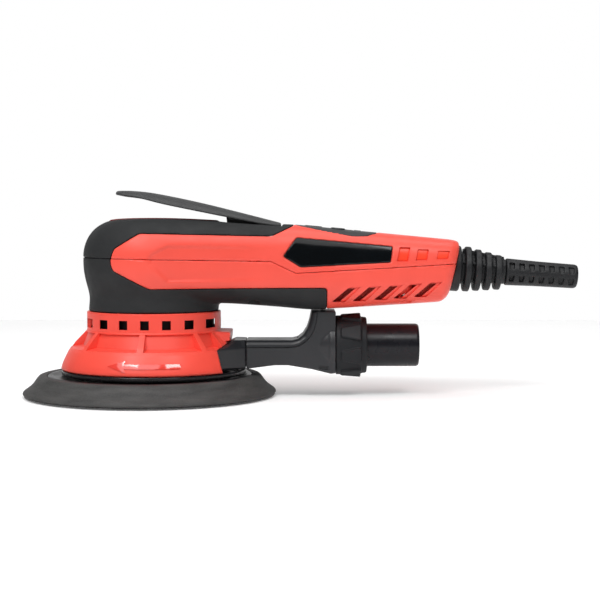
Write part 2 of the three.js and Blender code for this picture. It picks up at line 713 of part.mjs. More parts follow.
function lever() {
  const rise = Math.tan(THREE.MathUtils.degToRad(LEVER_RISE));
  const rearZ = gripTop(LEVER_REAR_X) + 0.6;
  const top = (x) => rearZ + (LEVER_REAR_X - x) * rise + 2.4 * Math.sin((Math.PI * (LEVER_REAR_X - x)) / LEVER_L);
  const stations = [0, 0.04, 0.14, 0.3, 0.5, 0.68, 0.84, 0.97, 1];
  const rings = stations.map((share) => {
    const x = LEVER_TIP_X + share * LEVER_L;
    const round = Math.sqrt(1 - (1 - Math.min(share / 0.16, 1)) ** 2);
    const taper = share > 0.95 ? 0.8 : 1;
    const half = Math.max(LEVER_HALF_W * (0.55 + 0.45 * round) * (1 - 0.28 * share) * taper, 3);
    const thick = share === 0 || share === 1 ? 1 : share < 0.1 ? 2.2 : LEVER_T;
    const count = 16;
    return Array.from({ length: count }, (_, i) => {
      const angle = (2 * Math.PI * (i + 0.5)) / count;
      const y = half * Math.sign(Math.cos(angle)) * Math.abs(Math.cos(angle)) ** 0.6;
      const droop = 1.4 * (y / LEVER_HALF_W) ** 2;
      return new THREE.Vector3(x, y, top(x) - thick / 2 - droop + (thick / 2) * Math.sin(angle));
    });
  });
  const hub = sidePrism(
    [
      [PIVOT_X - 17.6, HUB_FOOT_Z],
      [PIVOT_X + 4.4, HUB_FOOT_Z],
      [PIVOT_X + 4.4, top(PIVOT_X + 4.4) - 1.2],
      [PIVOT_X - 19.6, top(PIVOT_X - 19.6) - 1.2],
      [PIVOT_X - 19.6, HUB_FOOT_Z + 3],
    ],
    LEVER_HUB_HALF_W,
  );
  const springSeat = post(SPRING_X, 0, HUB_FOOT_Z - 1, SPRING_R + 0.9, 2.2, 16);
  return cut(join(loft(rings), hub), leverPin(LEVER_PIN_R + RUN, FAR / 8, 16), springSeat);
}
add("lever", lever(), BLACK);
add("lever_pin", leverPin(LEVER_PIN_R, WELL_HALF_W + 3.4, 16), STEEL);

// A coil spring between the switch body and the lever's hub.
function leverSpring() {
  const low = SWITCH_TOP_Z + 0.8;
  const high = HUB_FOOT_Z + 0.4;
  const turns = 4;
  const steps = 7 * turns;
  const points = Array.from({ length: steps + 1 }, (_, i) => {
    const angle = (2 * Math.PI * i) / 7;
    const x = SPRING_X + SPRING_R * Math.cos(angle);
    return new THREE.Vector3(x, SPRING_R * Math.sin(angle), low + ((high - low) * i) / steps);
  });
  const wire = new THREE.Shape().absarc(0, 0, 0.4, 0, 2 * Math.PI);
  const path = new THREE.CatmullRomCurve3(points);
  return solid(new THREE.ExtrudeGeometry(wire, { steps, extrudePath: path, curveSegments: 5 }));
}
add("lever_spring", leverSpring(), STEEL);
const SWITCH_H = 9;
const switchBody = join(
  box(PIVOT_X - 9, 0, SWITCH_TOP_Z - SWITCH_H / 2, 22, 12, SWITCH_H),
  post(PIVOT_X - 4.6, 0, SWITCH_TOP_Z - 1, 1.6, HUB_FOOT_Z - SWITCH_TOP_Z - 0.1, 10),
);
add("lever_switch", switchBody, BLACK);

// ------------------------------------------------------------------ motor

const PLATE_Z = NECK_Z + 1.2; // underside of the bearing plate
const BEARING_PLATE_T = 4;
const PLATE_OUT_R = NECK_R - WALL - 0.6;
const HUB_R = LOWER_BEARING_R + 3;
const HUB_Z = PLATE_Z - 9;
const FAN_Z = PLATE_Z + BEARING_PLATE_T + 1.6;
const STATOR_Z = FAN_Z + FAN_H + 3;
const FRAME_T = 2.2;
const UPPER_BEARING_Z = CROWN_Z - WALL - BEARING_T;
const BORE_SIDES = 24;

function bearingPlate() {
  const plate = turned([
    [MOTOR_SHAFT_R + 2.5, HUB_Z],
    [HUB_R, HUB_Z],
    [HUB_R, PLATE_Z],
    [PLATE_OUT_R, PLATE_Z],
    [PLATE_OUT_R, PLATE_Z + BEARING_PLATE_T],
    [LOWER_BEARING_R + GAP, PLATE_Z + BEARING_PLATE_T],
    [LOWER_BEARING_R + GAP, HUB_Z + 2],
    [MOTOR_SHAFT_R + 2.5, HUB_Z + 2],
    [MOTOR_SHAFT_R + 2.5, HUB_Z],
  ]);
  const airways = around(post(25, 0, PLATE_Z - 1, 4.6, 8, 8), 6, 30);
  return cut(plate, ...airways, ...SHROUD_SCREWS.map(([x, y]) => post(x, y, PLATE_Z - 5, SCREW_R + 0.2, 20, 8)));
}
const SHROUD_SCREW_CIRCLE_R = 29.5;
const SHROUD_SCREWS = [0, 120, 240].map((deg) => {
  const a = THREE.MathUtils.degToRad(deg);
  return [SHROUD_SCREW_CIRCLE_R * Math.cos(a), SHROUD_SCREW_CIRCLE_R * Math.sin(a)];
});
add("bearing_plate", bearingPlate(), ALUMINIUM);
add("lower_bearing", ring(MOTOR_SHAFT_R + RUN, LOWER_BEARING_R, HUB_Z + 2 + GAP, BEARING_T, BORE_SIDES), STEEL);
add("upper_bearing", ring(MOTOR_SHAFT_R - 1 + RUN, UPPER_BEARING_R, UPPER_BEARING_Z, BEARING_T - 1, BORE_SIDES), STEEL);

// The motor frame holds the stator and, on three arms, the upper bearing.
function motorFrame() {
  const foot = PLATE_Z + BEARING_PLATE_T + GAP;
  const wall = ring(STATOR_R + GAP, STATOR_R + GAP + FRAME_T, foot, UPPER_BEARING_Z - foot);
  const ledge = ring(STATOR_R - 1.2, STATOR_R + GAP + 1, STATOR_Z - 2 - GAP, 2);
  const seat = ring(UPPER_BEARING_R + GAP, UPPER_BEARING_R + GAP + 2, UPPER_BEARING_Z - 2.5, BEARING_T + 1.5);
  const lip = ring(UPPER_BEARING_R - 2, UPPER_BEARING_R + GAP + 1, UPPER_BEARING_Z - 2.5, 2.2);
  const arms = around(
    box((STATOR_R + UPPER_BEARING_R) / 2 + 1.4, 0, UPPER_BEARING_Z - 1.3, STATOR_R - UPPER_BEARING_R, 6, 2.4), 3, 60,
  );
  return join(wall, ledge, seat, lip, ...arms);
}
add("motor_frame", motorFrame(), BLACK);

// Stator stack: a ring with inward teeth.
function stator() {
  const rim = ring(STATOR_R - 5, STATOR_R, STATOR_Z, STATOR_H);
  const bore = ROTOR_R + AIR_GAP;
  const tooth = join(
    box((bore + STATOR_R - 4) / 2 + 0.6, 0, STATOR_Z + STATOR_H / 2, STATOR_R - 4 - bore - 1.2, 4, STATOR_H),
    box(bore + 1.4, 0, STATOR_Z + STATOR_H / 2, 2.6, 9, STATOR_H),
  );
  return cut(join(rim, ...around(tooth, TEETH)), post(0, 0, STATOR_Z - 1, bore, STATOR_H + 2, 27));
}
add("stator_core", stator(), IRON);
const coilEnd = (z) => ring(ROTOR_R + AIR_GAP + 3.6, STATOR_R - 2.6, z, 2.2);
add("winding_upper", coilEnd(STATOR_Z + STATOR_H + GAP), COPPER);
add("winding_lower", coilEnd(STATOR_Z - GAP - 2.2), COPPER);

// ------------------------------------------------------------------ spindle, with what turns on it

const ECCENTRIC_TOP = HUB_Z - 1.2;
const PAD_BEARING_Z = PAD_H + PAD_NUT_H + 5.4;
const ECCENTRIC_Z = PAD_BEARING_Z - 1.2;
const ECCENTRIC_R = PAD_BEARING_R + 4;

function spindle() {
  const cup = post(-ORBIT_R, 0, ECCENTRIC_Z, ECCENTRIC_R, ECCENTRIC_TOP - ECCENTRIC_Z, 28);
  const pocket = post(-ORBIT_R, 0, ECCENTRIC_Z - 1, PAD_BEARING_R + GAP, PAD_BEARING_H + 2.6, BORE_SIDES);
  const shaft = turned(
    [
      [0, ECCENTRIC_TOP - 0.5],
      [MOTOR_SHAFT_R, ECCENTRIC_TOP - 0.5],
      [MOTOR_SHAFT_R, UPPER_BEARING_Z - 1],
      [MOTOR_SHAFT_R - 1, UPPER_BEARING_Z - 1],
      [MOTOR_SHAFT_R - 1, UPPER_BEARING_Z + BEARING_T],
      [0, UPPER_BEARING_Z + BEARING_T],
    ],
    24,
  );
  return join(cut(cup, pocket), shaft);
}
add("eccentric_spindle", spindle(), STEEL);
add("pad_bearing", ring(PAD_SHAFT_R + RUN, PAD_BEARING_R, 0, PAD_BEARING_H, BORE_SIDES), STEEL)
  .position.set(-ORBIT_R, 0, PAD_BEARING_Z);

// A half ring of iron on the side away from the pad's axis balances the pad.
function counterweight() {
  const inner = ECCENTRIC_R + GAP;
  const disc = cut(
    post(0, 0, ECCENTRIC_Z + 2, ECCENTRIC_R + 13, 9, 32),
    post(-ORBIT_R, 0, ECCENTRIC_Z, inner, 20, 28),
  );
  return common(disc, box(FAR / 2 + 2, 0, 0, FAR, FAR, FAR));
}
add("counterweight", counterweight(), IRON);
add("rotor", ring(MOTOR_SHAFT_R + GAP, ROTOR_R, STATOR_Z, STATOR_H), IRON);

function coolingFan() {
  const disc = ring(MOTOR_SHAFT_R + GAP, FAN_R - 8, FAN_Z, 1.2, 24);
  const hub = ring(MOTOR_SHAFT_R + GAP, MOTOR_SHAFT_R + 4, FAN_Z, FAN_H, 24);
  const blade = box((FAN_R + 7) / 2, 0, FAN_Z + FAN_H / 2, FAN_R - 7, 1.2, FAN_H);
  return join(disc, hub, ...around(blade, 7, 14));
}
add("cooling_fan", coolingFan(), BLACK);

// ------------------------------------------------------------------ pad, turning freely on its own bearing

const padGroup = new THREE.Group();
padGroup.position.x = -ORBIT_R;
sander.add(padGroup);
const PLATE_FLOOR = PAD_H - PLATE_T;
const PAD_SIDES = 44;
const padHoles = (radius) => around(post(DUST_HOLE_CIRCLE_R, 0, -1, radius, PAD_H + 4, 8), DUST_HOLE_COUNT, 30);

add("hook_face", cut(post(0, 0, 0, PAD_R - 0.6, HOOK_T, PAD_SIDES), ...padHoles(DUST_HOLE_R + 0.5)), HOOKS, padGroup);
function padFoam() {
  const low = HOOK_T + GAP / 2;
  const flare = (share) => PAD_RIM_R + (PAD_R - PAD_RIM_R) * share;
  const body = turned(
    [
      [0, low],
      [PAD_R - 0.8, low],
      [PAD_R, low + 0.9],
      [flare(0.7), low + (PAD_H - low) * 0.32],
      [flare(0.26), low + (PAD_H - low) * 0.72],
      [PAD_RIM_R, PAD_H],
      [PLATE_R + GAP, PAD_H],
      [PLATE_R + GAP, PLATE_FLOOR - GAP / 2],
      [PAD_HUB_R + GAP, PLATE_FLOOR - GAP / 2],
      [PAD_HUB_R + GAP, low + 1.6],
      [0, low + 1.6],
    ],
    PAD_SIDES,
  );
  return cut(body, ...padHoles(DUST_HOLE_R));
}
add("pad_foam", padFoam(), FOAM, padGroup);
function padPlate() {
  const body = turned(
    [
      [0, HOOK_T + 2.3],
      [PAD_HUB_R, HOOK_T + 2.3],
      [PAD_HUB_R, PLATE_FLOOR],
      [PLATE_R, PLATE_FLOOR],
      [PLATE_R, PAD_H - 0.4],
      [PLATE_R - 0.8, PAD_H],
      [PAD_HUB_R + 3, PAD_H],
      [PAD_HUB_R - 1, PAD_H + 1.8],
      [0, PAD_H + 1.8],
    ],
    PAD_SIDES - 12,
  );
  const stud = post(0, 0, PAD_H + 1.8 - STUD_L - GAP, STUD_R + GAP, STUD_L + 4, 20);
  return cut(body, stud, ...padHoles(DUST_HOLE_R - 0.3));
}
add("pad_plate", padPlate(), GLOSS_BLACK, padGroup);
function padSpindle() {
  const nutZ = PAD_H + 1.8 + GAP;
  return join(
    post(0, 0, nutZ - STUD_L, STUD_R, STUD_L + 0.5, 20),
    post(0, 0, nutZ, PAD_NUT_R, PAD_NUT_H, 6),
    post(0, 0, nutZ + PAD_NUT_H - 0.5, PAD_SHAFT_R, PAD_BEARING_Z + PAD_BEARING_H - nutZ - PAD_NUT_H + 0.5, 24),
  );
}
add("pad_spindle", padSpindle(), STEEL, padGroup);

// ------------------------------------------------------------------ shroud and brake lip

const SKIRT_PROFILE = [
  [0, 0.6],
  [-0.9, 5],
  [-3.2, 9.8],
  [-7.4, 15.6],
  [-13.6, SKIRT_H - 0.8],
];
const SHROUD_SIDES = 36;
const CHAMBER_TOP = RING_Z - 2;
const SHROUD_BORE_R = ECCENTRIC_R + ORBIT_R + 3;
const HOOD_END_X = SKIRT_R - 8.6;
const DUCT_HIGH = TUBE_Z - 4.6 + DUCT_H / 2;
const DUCT_LOW = DUCT_HIGH - DUCT_H;
const STUB_FRONT_X = RING_R - 0.8;
const SKIRT_END_X = RING_R - 0.2; // the skirt stops here, and the dust stub fills the chord
const STUB_HALF_W = 29; // the stub's flared end, against the skirt
const STUB_TOP_HALF_W = 17;
// Section of the stub or the duct's start: level floor, upright sides and wide chamfers beside the top.
const stubRing = (x, grow) => {
  const flare = Math.max(DUCT_JOINT_X - x, 0) / (DUCT_JOINT_X - SKIRT_END_X);
  const half = DUCT_HALF_W + (STUB_HALF_W - DUCT_HALF_W) * flare + grow;
  const top = DUCT_HALF_W - 3.2 + (STUB_TOP_HALF_W - DUCT_HALF_W + 3.2) * flare + grow;
  const side = [[half, DUCT_LOW - grow], [half, DUCT_HIGH - 4.4 + grow * 0.6], [top, DUCT_HIGH + grow]];
  return [...side, ...side.map(([y, z]) => [-y, z]).reverse()].map(([y, z]) => new THREE.Vector3(x, y, z));
};
const stubForm = (from, to, grow) =>
  loft([from, Math.min(to, DUCT_JOINT_X), to + 0.01].map((x) => stubRing(x, grow)));
// What the skirt loses behind the stub: a slanted edge on each side, below the hood.
const skirtEnd = sidePrism([
  [HOOD_END_X + 1, DUCT_HIGH + 0.4],
  [SKIRT_END_X, DUCT_HIGH - 4.5],
  [SKIRT_END_X + 3.9, SKIRT_Z - 2],
  [FAR, SKIRT_Z - 2],
  [FAR, DUCT_HIGH + 0.4],
]);

function shroud() {
  const outside = SKIRT_PROFILE.map(([dr, dz]) => [SKIRT_R + dr, SKIRT_Z + dz]);
  const body = turned([
    [SKIRT_R - SHROUD_WALL, SKIRT_Z],
    [SKIRT_R - 0.7, SKIRT_Z],
    ...outside,
    [RING_R, RING_Z],
    [RING_R, RING_Z + RING_H],
    [RING_R - SHROUD_WALL, RING_Z + RING_H],
    [RING_R - SHROUD_WALL, RING_Z],
    [SHROUD_BORE_R, RING_Z],
    [SHROUD_BORE_R, CHAMBER_TOP],
    [RING_R - 3, CHAMBER_TOP],
    ...outside.slice(1, 4).reverse().map(([r, z]) => [r - SHROUD_WALL - 0.6, z - 0.8]),
    [SKIRT_R - SHROUD_WALL, SKIRT_Z],
  ], SHROUD_SIDES, 5);
  const hood = box(HOOD_END_X - 6, 0, RING_Z - 2.4, 12, 2 * (DUCT_HALF_W + 3), 5.6);
  const posts = SHROUD_SCREWS.map(([x, y]) => post(x, y, RING_Z - 1, BOSS_R, PLATE_Z - GAP - RING_Z + 1, 10));
  const window = box(RING_R, 0, RING_Z + RING_H / 2 - 0.9, 8, WINDOW_W, WINDOW_H);
  const turns = [-90, ...WINDOW_TURNS, 90, ...WINDOW_TURNS.map((t) => 180 - t)];
  const windows = turns.map((t) => aboutZ(window, t - 90));
  const [foot, crest] = SKIRT_PROFILE.slice(-2);
  const band = cut(
    turned([
      [SKIRT_R + foot[0] + 4, SKIRT_Z + foot[1] - 2.6],
      [SKIRT_R + crest[0] + 4, SKIRT_Z + crest[1] + 0.1],
      [SKIRT_R + crest[0] - POCKET_D, SKIRT_Z + crest[1] - 0.7],
      [SKIRT_R + foot[0] - POCKET_D * 0.7, SKIRT_Z + foot[1] - POCKET_D],
      [SKIRT_R + foot[0] + 4, SKIRT_Z + foot[1] - 2.6],
    ], SHROUD_SIDES, 5),
    ...around(box(SKIRT_R, 0, SKIRT_Z, 2 * SKIRT_R, RIB_W, FAR), RIB_COUNT, RIB_TURN),
  );
  const behind = box(HOOD_END_X, 0, RING_Z, 34, 2 * (DUCT_HALF_W + 3) + 1, 60);
  const holes = SHROUD_SCREWS.map(([x, y]) => post(x, y, 0, SCREW_R + 0.3, FAR / 2, 8));
  const clearStub = stubForm(STUB_FRONT_X - GAP, SKIRT_R + 20, GAP);
  return cut(
    join(cut(body, cut(band, behind), ...windows), hood, ...posts),
    ...holes,
    clearStub,
    skirtEnd,
  );
}
add("shroud", shroud(), RED);
SHROUD_SCREWS.forEach(([x, y], i) => {
  const headZ = CHAMBER_TOP - GAP - SCREW_HEAD_H;
  add("shroud_screw_" + (i + 1), screw(x, y, headZ, PLATE_Z + BEARING_PLATE_T - 0.5), STEEL);
});
add(
  "brake_lip",
  turned([
    [SKIRT_R - 5, PAD_H + GAP],
    [SKIRT_R - 0.6, PAD_H + GAP],
    [SKIRT_R - 0.2, SKIRT_Z - GAP],
    [SKIRT_R - 3.4, SKIRT_Z - GAP],
    [SKIRT_R - 5, PAD_H + GAP],
  ]),
  RUBBER,
);

// ------------------------------------------------------------------ dust stub, duct, collar and nozzle

add(
  "duct_stub",
  cut(stubForm(STUB_FRONT_X, DUCT_JOINT_X - GAP, 0), stubForm(STUB_FRONT_X - 2, DUCT_JOINT_X + 2, -DUCT_WALL)),
  BLACK,
);

const SPIGOT_L = 11.4;
const FLANGE_T = 2.8;
const BRACE_HEAD_Z = TUBE_Z + NOZZLE_R + 0.6;
const braceTop = Math.min(gripFloor(DUCT_END_X - BRACE_L), gripFloor(DUCT_END_X)) - 0.8;

// Side outline of the duct: a level tube, then a swan neck up to the brace under the grip.
function ductShape() {
  const back = DUCT_END_X - BRACE_L;
  return new THREE.Shape()
    .moveTo(DUCT_JOINT_X - 8, DUCT_LOW)
    .lineTo(DUCT_JOINT_X, DUCT_LOW)
    .lineTo(DUCT_JOINT_X + 17, DUCT_LOW + 2)
    .lineTo(DUCT_END_X - 13.8, DUCT_LOW)
    .lineTo(DUCT_END_X, TUBE_Z - COLLAR_R + 1.6)
    .lineTo(DUCT_END_X, braceTop)
    .lineTo(back, braceTop)
    .lineTo(back - 1.6, braceTop - 6)
    .quadraticCurveTo(back - 4.5, DUCT_HIGH + 1, back - 12, DUCT_HIGH)
    .lineTo(DUCT_JOINT_X - 8, DUCT_HIGH);
}

function dustDuct() {
  const edge = 3;
  const half = DUCT_HALF_W + 0.6;
  const bevelled = (shape, across) => {
    const depth = 2 * (across - edge);
    const geometry = new THREE.ExtrudeGeometry(shape, {
      depth,
      curveSegments: 5,
      bevelEnabled: true,
      bevelSize: edge,
      bevelOffset: -edge,
      bevelThickness: edge,
      bevelSegments: 2,
    });
    return place(geometry.rotateX(Math.PI / 2), 0, depth / 2, 0);
  };
  const front = box(DUCT_JOINT_X - FAR / 2, 0, 0, FAR, FAR, FAR);
  const outside = cut(bevelled(ductShape(), half), front);
  const flange = bar(DUCT_END_X - 6, TUBE_Z, COLLAR_R - 0.6, 6, 32);
  const throat = bar(DUCT_END_X - 8, TUBE_Z, NOZZLE_R + 1.4, SPIGOT_L + 12, 32);
  const spigot = bar(DUCT_END_X - 1, TUBE_Z, SPIGOT_R, SPIGOT_L + 1, 32);
  const channel = loft([
    roundedRing(DUCT_JOINT_X - 5, DUCT_HALF_W - DUCT_WALL, DUCT_LOW + DUCT_WALL, DUCT_HIGH - DUCT_WALL, 5, 16),
    roundedRing(DUCT_END_X - 28, DUCT_HALF_W - DUCT_WALL, DUCT_LOW + DUCT_WALL + 2, DUCT_HIGH - DUCT_WALL, 5, 16),
    roundedRing(DUCT_END_X - 7, NOZZLE_R - 0.5, TUBE_Z - NOZZLE_R + 0.8, TUBE_Z + NOZZLE_R - 0.8, 3, 16),
  ]);
  const screwHole = post(BRACE_X, 0, TUBE_Z, SCREW_R + 0.2, 40, 8);
  const headPocket = post(BRACE_X, 0, TUBE_Z, SCREW_HEAD_R + 0.4, BRACE_HEAD_Z + SCREW_HEAD_H + 0.15 - TUBE_Z, 12);
  return cut(join(outside, flange, spigot), throat, channel, screwHole, headPocket);
}
add("dust_duct", dustDuct(), BLACK);

const NOZZLE_IN_X = DUCT_END_X + 2.5;
const FLANGE_X = DUCT_END_X + SPIGOT_L + GAP;
const NOZZLE_END_X = DUCT_END_X + GAP + COLLAR_L + NOZZLE_L;
function nozzle() {
  const tube = bar(NOZZLE_IN_X, TUBE_Z, NOZZLE_R, NOZZLE_END_X - NOZZLE_IN_X, 32);
  const flange = bar(FLANGE_X, TUBE_Z, SPIGOT_R - 0.2, FLANGE_T - 0.4, 32);
  const bore = bar(NOZZLE_IN_X - 1, TUBE_Z, NOZZLE_R - NOZZLE_WALL, NOZZLE_END_X - NOZZLE_IN_X + 2, 32);
  return cut(join(tube, flange), bore);
}
add("hose_nozzle", nozzle(), BLACK);

function collar() {
  const x = DUCT_END_X + GAP;
  const body = solid(
    new THREE.CylinderGeometry(COLLAR_R, COLLAR_R - 0.8, COLLAR_L, 36).rotateZ(Math.PI / 2).translate(x + COLLAR_L / 2, 0, TUBE_Z),
  );
  const grip = box(x + 8.5, 0, COLLAR_R - 0.2, 10, 7.4, 2);
  const grips = Array.from({ length: COLLAR_PADS }, (_, i) =>
    moved(grip, new THREE.Matrix4().makeRotationX(
      Math.PI / 2 + THREE.MathUtils.degToRad(COLLAR_PAD_TURN) + (2 * Math.PI * i) / COLLAR_PADS,
    ).setPosition(0, 0, TUBE_Z)),
  );
  const seat = bar(x - 1, TUBE_Z, SPIGOT_R + RUN, 1 + SPIGOT_L + FLANGE_T, 36);
  const mouth = bar(x - 1, TUBE_Z, NOZZLE_R + RUN, COLLAR_L + 2, 36);
  return cut(join(body, ...grips), seat, mouth);
}
add("locking_collar", collar(), BLACK);
add(
  "nozzle_seal",
  solid(
    new THREE.TorusGeometry(NOZZLE_R + 0.8, 0.42, 5, 24).rotateY(Math.PI / 2).translate(NOZZLE_IN_X + 4, 0, TUBE_Z),
  ),
  RUBBER,
);
add("brace_screw", screw(BRACE_X, 0, BRACE_HEAD_Z, gripFloor(BRACE_X) + 7), STEEL);

// ------------------------------------------------------------------ cord boot, sleeve and clamp

const base = 9.5; // how far the boot's block reaches behind the housing
const BOOT_END = base - 3.2 + BOOT_RIBS * BOOT_PITCH;
function boot() {
  const flange = BOOT_NECK_R + 2.5;
  const profile = [[BOOT_BORE_R, -8], [flange, -8], [flange, -5.6], [BOOT_NECK_R, -5.6], [BOOT_NECK_R, -4.8]];
  profile.push([BOOT_R, -4.8], [BOOT_R, base - 5.4]);
  for (let i = 0; i < BOOT_RIBS; i++) {
    const z = base - 3.2 + i * BOOT_PITCH;
    const rib = BOOT_R - 0.3 - i * 1.05;
    profile.push([rib - 2.6, z - 2.2], [rib - 2.6, z], [rib, z], [rib, z + 3.6]);
  }
  profile.push([SLEEVE_R - 0.4, BOOT_END - 0.9], [SLEEVE_R - 0.4, BOOT_END]);
  profile.push([BOOT_BORE_R, BOOT_END], [BOOT_BORE_R, -8]);
  return turned(profile, 18, 10);
}
// The boot's block is trimmed to the slant of the rear face; only its neck goes through the wall.
const throughWall = post(0, 0, -20, BOOT_NECK_R, 40, 18);
const insideWall = post(0, 0, -FAR / 2, FAR / 4, FAR / 2 - 5.3, 8);
const wallBlock = cut(moved(form(-GAP), bootGroup.matrix.clone().invert()), throughWall, insideWall);
add("cord_boot", cut(boot(), wallBlock), RUBBER, bootGroup);

function sleeve() {
  const start = BOOT_END + GAP;
  const end = start + SLEEVE_L;
  const body = turned(
    [
      [BOOT_BORE_R, start],
      [SLEEVE_R, start],
      [(SLEEVE_R + SLEEVE_END_R) / 2 - 0.3, (start + end) / 2],
      [SLEEVE_END_R, end - 1.2],
      [SLEEVE_END_R - 0.9, end],
      [BOOT_BORE_R, end],
      [BOOT_BORE_R, start],
    ],
    18,
    10,
  );
  const slots = [];
  for (let i = 0; i < SLEEVE_SLOTS; i++) {
    const z = start + 5.2 + (i * (SLEEVE_L - 9)) / (SLEEVE_SLOTS - 0.8);
    const slot = box(SLEEVE_R, 0, z, 4.2, 2.4, 3.2);
    slots.push(...[60, 120, 240, 300].map((degrees) => aboutZ(slot, degrees)));
  }
  return cut(body, ...slots);
}
add("cord_sleeve", sleeve(), RUBBER, bootGroup);

add(
  "cord_clamp",
  cut(
    box(CLAMP_X, 0, clampZ + 5.5, 7, 2 * CLAMP_Y + 7, 11),
    bar(CLAMP_X - 5, clampZ + 4.4, BOOT_BORE_R, 10, 16),
    box(CLAMP_X, 0, clampZ, 9, 2 * BOOT_BORE_R, 8.8),
    ...[-1, 1].map((side) => post(CLAMP_X, side * CLAMP_Y, clampZ - 2, SCREW_R + 0.3, 30, 8)),
  ),
  BLACK,
);
for (const [name, side] of [["clamp_screw_near", -1], ["clamp_screw_far", 1]]) {
  const node = add(name, screw(0, 0, 0, 18), STEEL);
  node.rotation.x = Math.PI;
  node.position.set(CLAMP_X, side * CLAMP_Y, clampZ + 11 + GAP + SCREW_HEAD_H);
}

// ------------------------------------------------------------------ electronics

add("control_board", box(BOARD_X + BOARD_L / 2, 0, BOARD_Z + BOARD_T / 2, BOARD_L, 2 * BOARD_HALF_W, BOARD_T), BOARD);
const ON_BOARD = BOARD_Z + BOARD_T + GAP;
const CAPACITOR_R = 7;
const CAPACITOR_L = 22;
for (const [name, side] of [["capacitor_near", -1], ["capacitor_far", 1]]) {
  const can = bar(-CAPACITOR_L / 2, 0, CAPACITOR_R, CAPACITOR_L, 20);
  add(name, can, GLOSS_BLACK).position.set(BOARD_X + BOARD_L - 24, side * 8.5, ON_BOARD + CAPACITOR_R);
}
function heatSink() {
  const base = box(0, 0, 1.2, 24, 30, 2.4);
  const fins = [-12, -7.2, -2.4, 2.4, 7.2, 12].map((y) => box(0, y, 6, 24, 1.4, 9));
  return join(base, ...fins);
}
add("heat_sink", heatSink(), ALUMINIUM).position.set(BOARD_X + 25, 0, ON_BOARD);
add("terminal_block", cut(box(0, 0, 5, 9, 22, 10), box(3.5, -5, 6, 4, 6, 6), box(3.5, 5, 6, 4, 6, 6)), BLACK)
  .position.set(BOARD_X + BOARD_L - 6, 0, ON_BOARD);

export default sander;
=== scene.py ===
from math import cos, pi, radians, sin

import bmesh
import bpy
import numpy as np
from mathutils import Matrix, Vector


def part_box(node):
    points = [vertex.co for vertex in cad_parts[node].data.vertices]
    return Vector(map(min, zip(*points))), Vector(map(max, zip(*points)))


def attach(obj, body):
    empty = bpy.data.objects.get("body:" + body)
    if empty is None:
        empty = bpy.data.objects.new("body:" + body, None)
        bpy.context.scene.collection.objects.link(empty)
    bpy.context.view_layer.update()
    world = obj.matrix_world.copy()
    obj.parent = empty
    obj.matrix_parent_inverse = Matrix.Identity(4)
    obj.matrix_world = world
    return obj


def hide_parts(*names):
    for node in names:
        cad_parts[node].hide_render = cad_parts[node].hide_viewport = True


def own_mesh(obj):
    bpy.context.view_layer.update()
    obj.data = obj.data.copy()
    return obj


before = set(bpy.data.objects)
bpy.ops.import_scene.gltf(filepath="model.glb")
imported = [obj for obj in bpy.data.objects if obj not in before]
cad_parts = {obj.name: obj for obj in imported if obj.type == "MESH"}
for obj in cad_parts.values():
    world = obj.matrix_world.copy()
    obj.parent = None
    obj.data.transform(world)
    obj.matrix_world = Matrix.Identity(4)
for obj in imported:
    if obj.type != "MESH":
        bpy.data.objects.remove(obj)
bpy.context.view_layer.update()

# ------------------------------------------------------------------ studio
# A pale seamless table under soft lamps, as small tools are shot for a catalogue. One broad lamp
# hangs over the tool, two stand in front, and a wide panel behind picks out the top edges.
MM = 0.001
scene = bpy.context.scene
scene.view_settings.view_transform = "Standard"

camera = bpy.data.objects.new("camera", bpy.data.cameras.new("camera"))
camera.data.lens = 80.4
camera.data.sensor_width = 36.0
camera.location = (0.0869, -0.798, 0.0968)
camera.rotation_euler = (radians(87.1), 0, 0)
scene.collection.objects.link(camera)
scene.camera = camera


def lamp(name, place, aim, width, height, watts):
    light = bpy.data.lights.new(name, "AREA")
    light.shape = "RECTANGLE"
    light.size = width
    light.size_y = height
    light.energy = watts
    stand = bpy.data.objects.new(name, light)
    stand.location = place
    stand.rotation_euler = (Vector(aim) - Vector(place)).to_track_quat("-Z", "Y").to_euler()
    stand.visible_camera = False
    scene.collection.objects.link(stand)


lamp("overhead", (0.05, 0.05, 0.95), (0.08, 0, 0.05), 1.2, 0.5, 4.2)
lamp("front_left", (-0.36, -0.66, 0.82), (0, 0, 0.03), 0.34, 0.3, 3.2)
lamp("front_right", (0.42, -0.66, 0.82), (0.05, 0, 0.03), 0.3, 0.3, 2.6)
lamp("back_panel", (0.1, 1.3, 0.42), (0.08, 0, 0.06), 3.0, 0.84, 5.0)
sun = bpy.data.lights.new("sky_light", "SUN")
sun.energy = 1.15
sun.angle = radians(50)  # wide, so that its shadows stay soft
sun_stand = bpy.data.objects.new("sky_light", sun)
sun_stand.rotation_euler = (radians(34), radians(-14), 0)
scene.collection.objects.link(sun_stand)

# The room is white to the eye, but gives little light of its own, so that black parts stay black.
ROOM_GLOW = 0.13
world = bpy.data.worlds.new("studio")
world.use_nodes = True
sky = world.node_tree.nodes["Background"]
sky.inputs["Color"].default_value = (1, 1, 1, 1)
rays = world.node_tree.nodes.new("ShaderNodeLightPath")
level = world.node_tree.nodes.new("ShaderNodeMapRange")
level.inputs["To Min"].default_value = ROOM_GLOW
level.inputs["To Max"].default_value = 1.0
world.node_tree.links.new(rays.outputs["Is Camera Ray"], level.inputs["Value"])
world.node_tree.links.new(level.outputs["Result"], sky.inputs["Strength"])
scene.world = world


def tree_of(name):
    material = bpy.data.materials.new(name)
    material.use_nodes = True
    tree = material.node_tree
    shader = tree.nodes["Principled BSDF"]
    place = tree.nodes.new("ShaderNodeTexCoord")
    return material, tree, shader, place.outputs["Object"]


